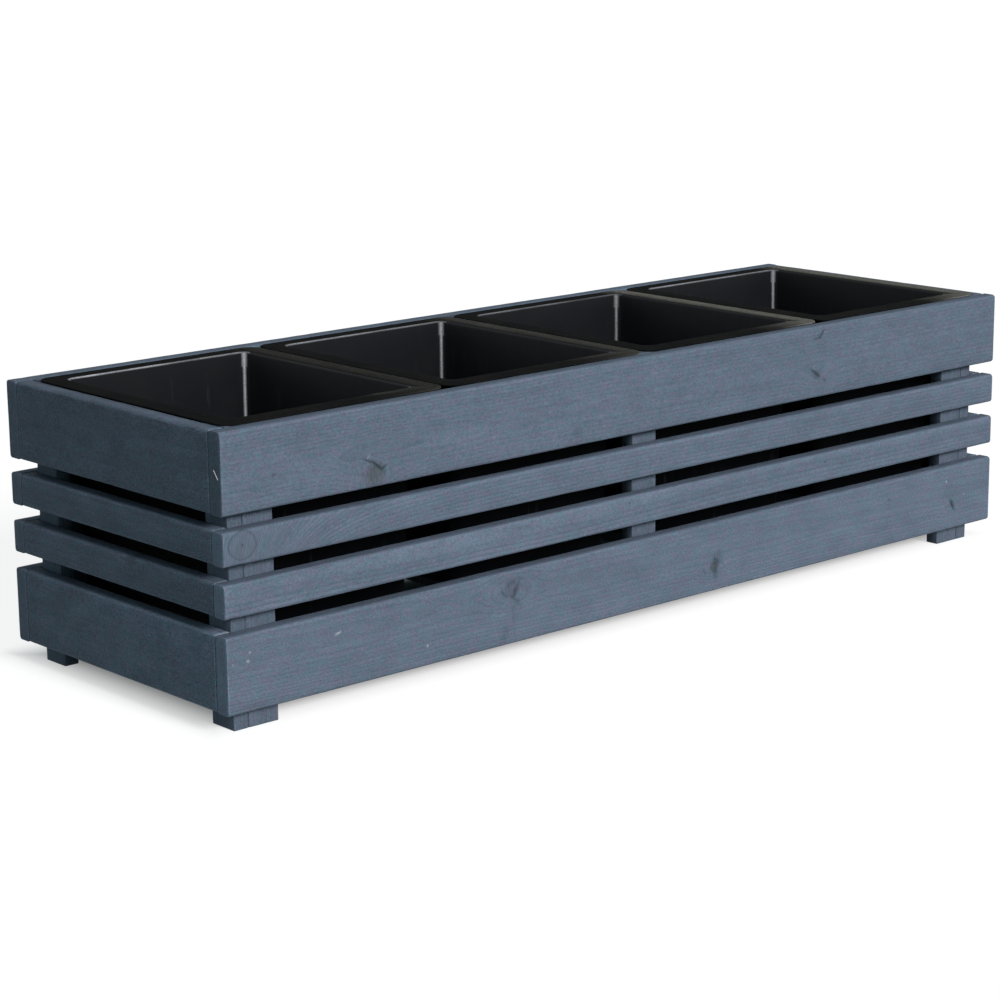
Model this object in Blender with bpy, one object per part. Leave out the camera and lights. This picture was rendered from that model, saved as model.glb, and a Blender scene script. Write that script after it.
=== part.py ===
"""Rectangular slatted wooden planter with four lift-out plastic liners.

Four panels of stained boards stand on battens in the corners, whose lower ends are
the feet. A slatted floor on two ledgers carries the liners, and the rims of the liners
lie over the tops of the boards and battens. Lengths are in metres, +X runs along the
front from left to right, +Y from front to back and +Z up. The origin is on the ground,
in the middle of the planter.
"""

import math

import bmesh
import bpy
from mathutils import Matrix, Vector

# Overall size
LENGTH = 1.200
WIDTH = 0.390
FOOT_HEIGHT = 0.0235

# Rows of boards, from the top down, and the gaps between them
TOP_BOARD_HEIGHT = 0.086
TOP_GAP = 0.0155
UPPER_SLAT_HEIGHT = 0.036
MIDDLE_GAP = 0.0175
LOWER_SLAT_HEIGHT = 0.036
LOWER_GAP = 0.0175
BOTTOM_BOARD_HEIGHT = 0.0825
BOARD_THICKNESS = 0.020
BOARD_EDGE_RADIUS = 0.004

# Battens in the corners and in the middle of the long sides
BATTEN_THICKNESS = 0.018
BATTEN_WIDTH = 0.038
BATTEN_EDGE_RADIUS = 0.0015

# Floor under the liners
LEDGER_RISE = 0.004
LEDGER_THICKNESS = 0.018
LEDGER_HEIGHT = 0.038
FLOOR_SLAT_WIDTH = 0.038
FLOOR_SLAT_THICKNESS = 0.018
FLOOR_SLATS_PER_LINER = 2
FLOOR_SLAT_POST_GAP = 0.006

# Liners
LINER_COUNT = 4
LINER_SEAM = 0.0025
LINER_WALL = 0.002
LINER_DRAFT = 0.008
LINER_BATTEN_CLEARANCE = 0.0025
LINER_CORNER_RADIUS = 0.012
LINER_FLOOR_FILLET = 0.008
RIM_THICKNESS = 0.0013
RIM_END_LAP = 0.003
RIM_FRONT_LAP = 0.004
RIM_REAR_GAP = 0.010
RIM_CORNER_RADIUS = 0.018
RIM_EDGE_ROUND = 0.0004
RIM_FILLET = 0.0025
REAR_WALL_INSET = 0.0188

# Countersunk screws
SCREW_DIAMETER = 0.004
SCREW_HEAD_DIAMETER = 0.008
SCREW_HEAD_HEIGHT = 0.0025
SCREW_TIP_LENGTH = 0.004
SCREW_HEAD_SINK = 0.0003
SCREW_RECESS_SPAN = 0.0042
SCREW_RECESS_WIDTH = 0.001
SCREW_RECESS_DEPTH = 0.0016
SCREW_HEAD_LAND = 0.0003
CORNER_SCREW_BITE = 0.012
CORNER_SCREW_END_DISTANCE = 0.070
LEDGER_SCREW_BITE = 0.012
LEDGER_SCREW_COUNT = 3
LEDGER_SCREW_END_DISTANCE = 0.110

# Wire staple in the left end of the front top board
STAPLE_CROWN = 0.011
STAPLE_LEG = 0.014
STAPLE_WIRE = 0.0011
STAPLE_SET_IN = 0.0085
STAPLE_DROP = 0.0438
STAPLE_LEAN = math.radians(-38)

# Pieces that touch keep this much air between their faces
CONTACT_GAP = 0.0003

# Facets
EDGE_SEGMENTS = 3
MOST_ROUND = 0.45
CORNER_SEGMENTS = 5
SMALLEST_RADIUS = 0.0008
FILLET_SEGMENTS = 3
SCREW_SIDES = 12
SHARP_ANGLE = math.radians(35)

# Heights of the rows above the ground
BOTTOM_BOARD_BASE = FOOT_HEIGHT
LOWER_SLAT_BASE = BOTTOM_BOARD_BASE + BOTTOM_BOARD_HEIGHT + LOWER_GAP
UPPER_SLAT_BASE = LOWER_SLAT_BASE + LOWER_SLAT_HEIGHT + MIDDLE_GAP
TOP_BOARD_BASE = UPPER_SLAT_BASE + UPPER_SLAT_HEIGHT + TOP_GAP
BOX_TOP = TOP_BOARD_BASE + TOP_BOARD_HEIGHT

# Inner faces of the boards, measured from the middle
INNER_X = LENGTH / 2 - BOARD_THICKNESS
INNER_Y = WIDTH / 2 - BOARD_THICKNESS

# Faces of the corner posts, measured from the middle
END_BATTEN_FACE_X = INNER_X - CONTACT_GAP
END_BATTEN_INNER_X = END_BATTEN_FACE_X - BATTEN_THICKNESS
SIDE_BATTEN_FACE_X = END_BATTEN_INNER_X - CONTACT_GAP
SIDE_BATTEN_INNER_X = SIDE_BATTEN_FACE_X - BATTEN_WIDTH
POST_FACE_Y = INNER_Y - CONTACT_GAP

# Levels of the floor and of the liners
LEDGER_BASE = BOTTOM_BOARD_BASE + LEDGER_RISE
LEDGER_TOP = LEDGER_BASE + LEDGER_HEIGHT
FLOOR_BASE = LEDGER_TOP + CONTACT_GAP
FLOOR_TOP = FLOOR_BASE + FLOOR_SLAT_THICKNESS
LINER_BASE = FLOOR_TOP + CONTACT_GAP
RIM_UNDERSIDE = BOX_TOP + CONTACT_GAP
RIM_TOP = RIM_UNDERSIDE + RIM_THICKNESS

# Size of one liner, from the frame that it hangs in
RIM_LENGTH = (2 * INNER_X + 2 * RIM_END_LAP - (LINER_COUNT - 1) * LINER_SEAM) / LINER_COUNT
RIM_DEPTH = 2 * INNER_Y + RIM_FRONT_LAP - RIM_REAR_GAP
LINER_PITCH = RIM_LENGTH + LINER_SEAM
LINER_CENTRE_Y = -INNER_Y - RIM_FRONT_LAP + RIM_DEPTH / 2
WALL_INSET_X = RIM_END_LAP + CONTACT_GAP + BATTEN_THICKNESS + LINER_BATTEN_CLEARANCE
FRONT_WALL_INSET = RIM_FRONT_LAP + CONTACT_GAP + BATTEN_THICKNESS + LINER_BATTEN_CLEARANCE
WALL_SHIFT_Y = (FRONT_WALL_INSET - REAR_WALL_INSET) / 2

STAIN_FRONT = (0.135, 0.168, 0.220, 1.0)
STAIN_SHADED = (0.120, 0.150, 0.198, 1.0)
LINER_BLACK = (0.012, 0.012, 0.013, 1.0)
ZINC = (0.62, 0.63, 0.65, 1.0)


def clear_scene():
    """Remove every object of the scene that the script starts in."""
    for thing in list(bpy.data.objects):
        bpy.data.objects.remove(thing, do_unlink=True)


def make_material(name, colour, roughness, metallic=0.0):
    """Return the Principled material of that name, made on its first use."""
    material = bpy.data.materials.get(name)
    if material is None:
        material = bpy.data.materials.new(name)
        material.use_nodes = True
        shader = material.node_tree.nodes["Principled BSDF"]
        shader.inputs["Base Color"].default_value = colour
        shader.inputs["Roughness"].default_value = roughness
        shader.inputs["Metallic"].default_value = metallic
        material.diffuse_color = colour
    return material


def board_material():
    return make_material("stained_board", STAIN_FRONT, 0.62)


def batten_material():
    return make_material("stained_batten", STAIN_SHADED, 0.66)


def floor_material():
    return make_material("stained_floor_wood", STAIN_SHADED, 0.72)


def liner_material():
    return make_material("black_liner_plastic", LINER_BLACK, 0.42)


def fastener_material():
    return make_material("zinc_plated_steel", ZINC, 0.35, metallic=1.0)


def add_object(name, mesh, material, place, turn=None):
    """Add a mesh to the scene as a named object at a place, turned by a matrix."""
    thing = bpy.data.objects.new(name, mesh)
    bpy.context.collection.objects.link(thing)
    thing.matrix_world = Matrix.Translation(place) @ (turn or Matrix.Identity(4))
    if material is not None and not mesh.materials:
        mesh.materials.append(material)
    return thing


def mesh_from(name, bm):
    """Turn a bmesh into a mesh with its faces pointing out."""
    bmesh.ops.recalc_face_normals(bm, faces=bm.faces)
    mesh = bpy.data.meshes.new(name)
    bm.to_mesh(mesh)
    bm.free()
    shade(mesh)
    return mesh


def shade(mesh):
    """Shade a mesh smooth, with its sharp edges kept."""
    mesh.shade_smooth()
    mesh.set_sharp_from_angle(angle=SHARP_ANGLE)


def timber_mesh(name, length, size_y, size_z, edge_radius):
    """Return a length of timber along X with its four long edges rounded."""
    bm = bmesh.new()
    bmesh.ops.create_cube(bm, size=1.0)
    bmesh.ops.scale(bm, vec=Vector((length, size_y, size_z)), verts=bm.verts)
    long_edges = [edge for edge in bm.edges if abs(edge.verts[0].co.x - edge.verts[1].co.x) > length / 2]
    radius = min(edge_radius, MOST_ROUND * min(size_y, size_z))
    bmesh.ops.bevel(bm, geom=long_edges, offset=radius, segments=EDGE_SEGMENTS, profile=0.5, affect="EDGES")
    return mesh_from(name, bm)


def spread(first, last, count):
    """Return evenly spaced values from first to last."""
    if count == 1:
        return [(first + last) / 2]
    return [first + (last - first) * index / (count - 1) for index in range(count)]


# Turns that lay a length of timber, modelled along X, in its direction
ALONG_Y = Matrix.Rotation(math.radians(90), 4, "Z")
UPRIGHT = Matrix.Rotation(math.radians(-90), 4, "Y")
UPRIGHT_TURNED = Matrix.Rotation(math.radians(90), 4, "Z") @ UPRIGHT


def board_rows():
    """Return the name, lower edge and height of each row of boards."""
    return [
        ("bottom_board", BOTTOM_BOARD_BASE, BOTTOM_BOARD_HEIGHT),
        ("lower_slat", LOWER_SLAT_BASE, LOWER_SLAT_HEIGHT),
        ("upper_slat", UPPER_SLAT_BASE, UPPER_SLAT_HEIGHT),
        ("top_board", TOP_BOARD_BASE, TOP_BOARD_HEIGHT),
    ]


def make_panels():
    """Build the boards of the front, the back and the two ends."""
    boards = {}
    end_length = 2 * INNER_Y - 2 * CONTACT_GAP
    for row, base, height in board_rows():
        middle = base + height / 2
        long_mesh = timber_mesh("long_" + row, LENGTH, BOARD_THICKNESS, height, BOARD_EDGE_RADIUS)
        for side, sign in (("front", -1), ("back", 1)):
            name = f"{side}_{row}"
            place = Vector((0.0, sign * (WIDTH - BOARD_THICKNESS) / 2, middle))
            boards[name] = add_object(name, long_mesh, board_material(), place)
        end_mesh = timber_mesh("end_" + row, end_length, BOARD_THICKNESS, height, BOARD_EDGE_RADIUS)
        for side, sign in (("left", -1), ("right", 1)):
            name = f"{side}_{row}"
            place = Vector((sign * (LENGTH - BOARD_THICKNESS) / 2, 0.0, middle))
            boards[name] = add_object(name, end_mesh, board_material(), place, ALONG_Y)
    return boards


def make_corner_posts():
    """Build the two battens that stand in each corner; their lower ends are the feet."""
    end_battens = {}
    side_battens = {}
    mesh = timber_mesh("corner_batten", BOX_TOP, BATTEN_WIDTH, BATTEN_THICKNESS, BATTEN_EDGE_RADIUS)
    end_x = END_BATTEN_FACE_X - BATTEN_THICKNESS / 2
    end_y = POST_FACE_Y - BATTEN_WIDTH / 2
    side_x = SIDE_BATTEN_FACE_X - BATTEN_WIDTH / 2
    side_y = POST_FACE_Y - BATTEN_THICKNESS / 2
    for side_name, y_sign in (("front", -1), ("back", 1)):
        for end_name, x_sign in (("left", -1), ("right", 1)):
            corner = f"{side_name}_{end_name}"
            end_place = Vector((x_sign * end_x, y_sign * end_y, BOX_TOP / 2))
            side_place = Vector((x_sign * side_x, y_sign * side_y, BOX_TOP / 2))
            end_battens[corner] = add_object(
                f"{corner}_end_batten", mesh, batten_material(), end_place, UPRIGHT)
            side_battens[corner] = add_object(
                f"{corner}_side_batten", mesh, batten_material(), side_place, UPRIGHT_TURNED)
    return end_battens, side_battens


def make_centre_battens():
    """Build the batten in the middle of each long side, which stands on the ledger."""
    base = LEDGER_TOP + CONTACT_GAP
    height = BOX_TOP - base
    mesh = timber_mesh("centre_batten", height, BATTEN_WIDTH, BATTEN_THICKNESS, BATTEN_EDGE_RADIUS)
    for side, sign in (("front", -1), ("back", 1)):
        place = Vector((0.0, sign * (POST_FACE_Y - BATTEN_THICKNESS / 2), base + height / 2))
        add_object(f"{side}_centre_batten", mesh, batten_material(), place, UPRIGHT_TURNED)


def make_ledgers():
    """Build the two ledgers along the bottom boards, from post to post."""
    ledgers = {}
    length = 2 * (SIDE_BATTEN_INNER_X - CONTACT_GAP)
    mesh = timber_mesh("floor_ledger", length, LEDGER_THICKNESS, LEDGER_HEIGHT, BATTEN_EDGE_RADIUS)
    for side, sign in (("front", -1), ("back", 1)):
        place = Vector((0.0, sign * (POST_FACE_Y - LEDGER_THICKNESS / 2), LEDGER_BASE + LEDGER_HEIGHT / 2))
        ledgers[side] = add_object(f"{side}_floor_ledger", mesh, floor_material(), place)
    return ledgers


def make_floor_slats():
    """Build the slats that lie across the two ledgers."""
    length = 2 * POST_FACE_Y
    mesh = timber_mesh("floor_slat", length, FLOOR_SLAT_WIDTH, FLOOR_SLAT_THICKNESS, BATTEN_EDGE_RADIUS)
    outermost = SIDE_BATTEN_INNER_X - FLOOR_SLAT_POST_GAP - FLOOR_SLAT_WIDTH / 2
    places = spread(-outermost, outermost, LINER_COUNT * FLOOR_SLATS_PER_LINER)
    for number, x in enumerate(places, start=1):
        place = Vector((x, 0.0, FLOOR_BASE + FLOOR_SLAT_THICKNESS / 2))
        add_object(f"floor_slat_{number}", mesh, floor_material(), place, ALONG_Y)


def rounded_rectangle(half_x, half_y, radius, z, shift_y=0.0):
    """Return the corners of a rectangle with round corners, anticlockwise from the right front."""
    points = []
    for quarter, (x_sign, y_sign) in enumerate(((1, -1), (1, 1), (-1, 1), (-1, -1))):
        centre_x = x_sign * (half_x - radius)
        centre_y = y_sign * (half_y - radius) + shift_y
        for step in range(CORNER_SEGMENTS + 1):
            angle = math.radians(90) * (quarter - 1 + step / CORNER_SEGMENTS)
            points.append((centre_x + radius * math.cos(angle), centre_y + radius * math.sin(angle), z))
    return points


def wall_loop(offset, z):
    """Return a loop of the tapered wall, set inwards from its outer face."""
    lean = LINER_DRAFT * (RIM_UNDERSIDE - min(z, RIM_UNDERSIDE)) / (RIM_UNDERSIDE - LINER_BASE)
    half_x = RIM_LENGTH / 2 - WALL_INSET_X - offset - lean
    half_y = (RIM_DEPTH - FRONT_WALL_INSET - REAR_WALL_INSET) / 2 - offset - lean
    radius = max(LINER_CORNER_RADIUS - offset, SMALLEST_RADIUS)
    return rounded_rectangle(half_x, half_y, radius, z, WALL_SHIFT_Y)


def rim_loop(offset, z):
    """Return a loop of the rim, set inwards from its outer edge."""
    radius = max(RIM_CORNER_RADIUS - offset, SMALLEST_RADIUS)
    return rounded_rectangle(RIM_LENGTH / 2 - offset, RIM_DEPTH / 2 - offset, radius, z)


def liner_loops():
    """Return the loops of a liner, from the inside of its floor over the rim to its underside."""
    floor_z = LINER_BASE + LINER_WALL
    quarter_turn = [math.radians(90) * step / FILLET_SEGMENTS for step in range(FILLET_SEGMENTS + 1)]
    loops = []
    for angle in quarter_turn:
        offset = LINER_WALL + LINER_FLOOR_FILLET * (1 - math.sin(angle))
        loops.append(wall_loop(offset, floor_z + LINER_FLOOR_FILLET * (1 - math.cos(angle))))
    for angle in quarter_turn:
        offset = LINER_WALL - RIM_FILLET * (1 - math.cos(angle))
        loops.append(wall_loop(offset, RIM_TOP - RIM_FILLET * (1 - math.sin(angle))))
    loops.append(rim_loop(RIM_EDGE_ROUND, RIM_TOP))
    loops.append(rim_loop(0.0, RIM_TOP - RIM_EDGE_ROUND))
    loops.append(rim_loop(0.0, RIM_UNDERSIDE + RIM_EDGE_ROUND))
    loops.append(rim_loop(RIM_EDGE_ROUND, RIM_UNDERSIDE))
    loops.append(wall_loop(0.0, RIM_UNDERSIDE))
    for angle in reversed(quarter_turn):
        offset = LINER_FLOOR_FILLET * (1 - math.sin(angle))
        loops.append(wall_loop(offset, LINER_BASE + LINER_FLOOR_FILLET * (1 - math.cos(angle))))
    return loops


def liner_mesh():
    """Return the mesh of one liner, an open tray with a flat rim."""
    bm = bmesh.new()
    rings = [[bm.verts.new(point) for point in loop] for loop in liner_loops()]
    for lower, upper in zip(rings, rings[1:]):
        for index in range(len(lower)):
            after = (index + 1) % len(lower)
            bm.faces.new((lower[index], lower[after], upper[after], upper[index]))
    bm.faces.new(rings[0])
    bm.faces.new(reversed(rings[-1]))
    return mesh_from("liner", bm)


def make_liners():
    """Build the liners; each hangs under an empty on the line that it lifts along."""
    mesh = liner_mesh()
    first = -(LINER_COUNT - 1) / 2 * LINER_PITCH
    for number in range(1, LINER_COUNT + 1):
        lift_line = bpy.data.objects.new(f"liner_{number}_lift_line", None)
        bpy.context.collection.objects.link(lift_line)
        lift_line.location = (first + (number - 1) * LINER_PITCH, LINER_CENTRE_Y, 0.0)
        liner = add_object(f"liner_{number}", mesh, liner_material(), Vector((0.0, 0.0, 0.0)))
        liner.parent = lift_line


def turned_mesh(name, profile):
    """Return a solid turned about X from a profile of (x, radius), its first and last radius 0."""
    bm = bmesh.new()
    rings = []
    for x, radius in profile[1:-1]:
        ring = []
        for side in range(SCREW_SIDES):
            angle = 2 * math.pi * side / SCREW_SIDES
            ring.append(bm.verts.new((x, radius * math.cos(angle), radius * math.sin(angle))))
        rings.append(ring)
    start = bm.verts.new((profile[0][0], 0.0, 0.0))
    end = bm.verts.new((profile[-1][0], 0.0, 0.0))
    for index in range(SCREW_SIDES):
        after = (index + 1) % SCREW_SIDES
        bm.faces.new((start, rings[0][index], rings[0][after]))
        bm.faces.new((end, rings[-1][after], rings[-1][index]))
        for ring, following in zip(rings, rings[1:]):
            bm.faces.new((ring[index], following[index], following[after], ring[after]))
    return mesh_from(name, bm)


def screw_profile(length, air=0.0, proud=0.0):
    """Return a countersunk screw's profile from its face at X 0, grown by air and reaching out proud."""
    head = SCREW_HEAD_DIAMETER / 2 + air
    shank = SCREW_DIAMETER / 2 + air
    return [
        (-proud, 0.0),
        (-proud, head),
        (SCREW_HEAD_LAND + air, head),
        (SCREW_HEAD_HEIGHT + air, shank),
        (length - SCREW_TIP_LENGTH + air, shank),
        (length + 2 * air, 0.0),
    ]


def hide_tool(thing):
    """Mark a cutter, which is not a piece of the planter."""
    thing.hide_render = True
    thing.display_type = "WIRE"
    return thing


def cut(piece, cutter):
    """Take a cutter's shape out of a piece."""
    modifier = piece.modifiers.new("cut_" + cutter.name, "BOOLEAN")
    modifier.operation = "DIFFERENCE"
    modifier.solver = "EXACT"
    modifier.object = cutter


def recess_mesh():
    """Return the cross-shaped recess of a screw's head, as a prism along X."""
    arm = SCREW_RECESS_SPAN / 2
    half = SCREW_RECESS_WIDTH / 2
    outline = []
    for quarter in range(4):
        turn = Matrix.Rotation(math.radians(90) * quarter, 2)
        outline += [turn @ Vector(point) for point in ((arm, -half), (arm, half), (half, half))]
    bm = bmesh.new()
    face = bm.faces.new([bm.verts.new((-SCREW_RECESS_DEPTH, y, z)) for y, z in outline])
    grown = bmesh.ops.extrude_face_region(bm, geom=[face])
    moved = [item for item in grown["geom"] if isinstance(item, bmesh.types.BMVert)]
    bmesh.ops.translate(bm, vec=Vector((2 * SCREW_RECESS_DEPTH, 0.0, 0.0)), verts=moved)
    return mesh_from("screw_recess", bm)


def screw_mesh(name, length):
    """Return the mesh of a countersunk screw with a cross recess."""
    blank = add_object(name + "_blank", turned_mesh(name, screw_profile(length)), None, Vector())
    recess = add_object(name + "_recess", recess_mesh(), None, Vector())
    cut(blank, recess)
    bpy.context.view_layer.update()
    evaluated = blank.evaluated_get(bpy.context.evaluated_depsgraph_get())
    mesh = bpy.data.meshes.new_from_object(evaluated)
    mesh.name = name
    shade(mesh)
    for tool in (blank, recess):
        bpy.data.objects.remove(tool, do_unlink=True)
    return mesh


class ScrewKit:
    """The screws of one length, with the cutter for the hole that each lies in."""

    def __init__(self, name, length):
        self.mesh = screw_mesh(name, length)
        self.hole = turned_mesh(name + "_hole", screw_profile(length, CONTACT_GAP, 2 * SCREW_HEAD_SINK))

    def drive(self, name, face_point, turn, pieces):
        """Drive a screw in at a point on a face, through the pieces that it holds."""
        sunk = face_point + turn @ Vector((SCREW_HEAD_SINK, 0.0, 0.0))
        add_object(name, self.mesh, fastener_material(), sunk, turn)
        cutter = hide_tool(add_object(name + "_hole", self.hole, None, sunk, turn))
        for piece in pieces:
            own_mesh(piece)
            cut(piece, cutter)


def own_mesh(piece):
    """Give a piece that is cut its own copy of a mesh that it shares."""
    if piece.data.users > 1:
        piece.data = piece.data.copy()


def make_corner_screws(end_battens, side_battens):
    """Screw the side batten of each corner to its end batten, through its narrow edge."""
    kit = ScrewKit("corner_screw", BATTEN_WIDTH + CORNER_SCREW_BITE)
    heights = {
        "upper": BOX_TOP - CORNER_SCREW_END_DISTANCE,
        "lower": FOOT_HEIGHT + CORNER_SCREW_END_DISTANCE,
    }
    for corner, side_batten in side_battens.items():
        x_sign = -1 if corner.endswith("left") else 1
        y_sign = -1 if corner.startswith("front") else 1
        turn = Matrix.Rotation(math.radians(180) if x_sign < 0 else 0.0, 4, "Z")
        for level, z in heights.items():
            y = y_sign * (POST_FACE_Y - BATTEN_THICKNESS / 2)
            point = Vector((x_sign * SIDE_BATTEN_INNER_X, y, z))
            kit.drive(f"{corner}_corner_screw_{level}", point, turn, (side_batten, end_battens[corner]))


def make_ledger_screws(ledgers, boards):
    """Screw each ledger to its bottom board from the inside."""
    kit = ScrewKit("ledger_screw", LEDGER_THICKNESS + LEDGER_SCREW_BITE)
    outermost = SIDE_BATTEN_INNER_X - LEDGER_SCREW_END_DISTANCE
    for side, ledger in ledgers.items():
        sign = -1 if side == "front" else 1
        turn = Matrix.Rotation(math.radians(90) * sign, 4, "Z")
        for number, x in enumerate(spread(-outermost, outermost, LEDGER_SCREW_COUNT), start=1):
            point = Vector((x, sign * (POST_FACE_Y - LEDGER_THICKNESS), LEDGER_BASE + LEDGER_HEIGHT / 2))
            kit.drive(f"{side}_ledger_screw_{number}", point, turn, (ledger, boards[f"{side}_bottom_board"]))


def staple_mesh(name, air):
    """Return a wire staple with its crown's face at X 0 and its legs along +X, grown by air."""
    half = STAPLE_CROWN / 2
    wire = STAPLE_WIRE
    tip = STAPLE_LEG + air
    front = -2 * air
    inner = half - wire - air
    outline = [
        (front, -half - air),
        (tip, -half - air),
        (tip, -inner),
        (wire + air, -inner),
        (wire + air, inner),
        (tip, inner),
        (tip, half + air),
        (front, half + air),
    ]
    bm = bmesh.new()
    face = bm.faces.new([bm.verts.new((x, -wire / 2 - air, z)) for x, z in outline])
    grown = bmesh.ops.extrude_face_region(bm, geom=[face])
    moved = [item for item in grown["geom"] if isinstance(item, bmesh.types.BMVert)]
    bmesh.ops.translate(bm, vec=Vector((0.0, wire + 2 * air, 0.0)), verts=moved)
    return mesh_from(name, bm)


def make_end_staple(boards):
    """Drive the one wire staple that shows into the left end of the front top board."""
    place = Vector((-LENGTH / 2, -WIDTH / 2 + STAPLE_SET_IN, BOX_TOP - STAPLE_DROP))
    turn = Matrix.Rotation(STAPLE_LEAN, 4, "X")
    add_object("end_grain_staple", staple_mesh("end_grain_staple", 0.0), fastener_material(), place, turn)
    cutter = hide_tool(add_object("staple_slot", staple_mesh("staple_slot", CONTACT_GAP), None, place, turn))
    board = boards["front_top_board"]
    own_mesh(board)
    cut(board, cutter)


def main():
    """Build the whole planter."""
    clear_scene()
    boards = make_panels()
    end_battens, side_battens = make_corner_posts()
    make_centre_battens()
    ledgers = make_ledgers()
    make_floor_slats()
    make_liners()
    make_corner_screws(end_battens, side_battens)
    make_ledger_screws(ledgers, boards)
    make_end_staple(boards)


main()
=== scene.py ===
"""Looks of a slatted planter box with four black liners.

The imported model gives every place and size, in metres, with +X along the front,
+Y to the back and +Z up. Each length of timber and each liner is built again as a
finer mesh in the place of its node, with its worn edges, bowed walls and materials.
"""

import logging
import math
import zlib
from collections.abc import Mapping, Sequence
from dataclasses import dataclass, field, replace
from enum import Enum
from random import Random

import bmesh
import bpy
from mathutils import Matrix, Vector, noise


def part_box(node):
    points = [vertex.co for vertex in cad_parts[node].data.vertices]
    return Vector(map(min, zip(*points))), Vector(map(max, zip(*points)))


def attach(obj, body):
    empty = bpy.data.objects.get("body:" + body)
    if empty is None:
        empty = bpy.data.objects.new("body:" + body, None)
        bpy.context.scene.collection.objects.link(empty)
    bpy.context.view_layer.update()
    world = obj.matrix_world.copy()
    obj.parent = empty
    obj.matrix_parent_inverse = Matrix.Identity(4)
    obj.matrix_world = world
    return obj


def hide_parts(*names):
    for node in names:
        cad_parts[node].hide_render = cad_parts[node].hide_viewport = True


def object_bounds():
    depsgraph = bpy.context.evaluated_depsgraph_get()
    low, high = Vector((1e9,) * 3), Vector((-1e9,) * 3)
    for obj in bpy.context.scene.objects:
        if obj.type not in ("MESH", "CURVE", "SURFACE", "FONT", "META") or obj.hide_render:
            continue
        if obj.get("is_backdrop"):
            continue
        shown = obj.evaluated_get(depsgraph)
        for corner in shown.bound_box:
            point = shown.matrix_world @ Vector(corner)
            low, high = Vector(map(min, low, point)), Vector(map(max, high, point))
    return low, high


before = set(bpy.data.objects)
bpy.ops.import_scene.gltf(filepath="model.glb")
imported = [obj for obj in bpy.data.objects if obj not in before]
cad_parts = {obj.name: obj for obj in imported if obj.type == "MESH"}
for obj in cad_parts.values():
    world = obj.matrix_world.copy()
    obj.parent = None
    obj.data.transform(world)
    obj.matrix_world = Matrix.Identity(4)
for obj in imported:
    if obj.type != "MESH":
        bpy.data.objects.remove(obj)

LOG = logging.getLogger("planter")

Colour = tuple[float, float, float]
Value = bpy.types.NodeSocket | float | Sequence[float]


class Socket(Enum):
    """The kinds of socket that the shared effects have."""

    FLOAT = "NodeSocketFloat"
    VECTOR = "NodeSocketVector"


class Slot(Enum):
    """The material slots that the timber and the liners take their finish from."""

    BOARD = "stained_board"
    BATTEN = "stained_batten"
    FLOOR = "stained_floor_wood"
    LINER = "black_liner_plastic"


class Side(Enum):
    """A side of the planter: its name, its direction from left to right, and its outward direction."""

    FRONT = ("front", (1.0, 0.0, 0.0), (0.0, -1.0, 0.0))
    BACK = ("back", (-1.0, 0.0, 0.0), (0.0, 1.0, 0.0))
    LEFT = ("left", (0.0, -1.0, 0.0), (-1.0, 0.0, 0.0))
    RIGHT = ("right", (0.0, 1.0, 0.0), (1.0, 0.0, 0.0))

    @property
    def title(self) -> str:
        """The side's word in the names of its nodes."""
        return self.value[0]

    @property
    def along(self) -> Vector:
        """The direction that its boards run in, from left to right as seen from outside."""
        return Vector(self.value[1])

    @property
    def out(self) -> Vector:
        """The direction that its boards face."""
        return Vector(self.value[2])


UP = Vector((0.0, 0.0, 1.0))
MM = 0.001


# Shader nodes


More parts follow.
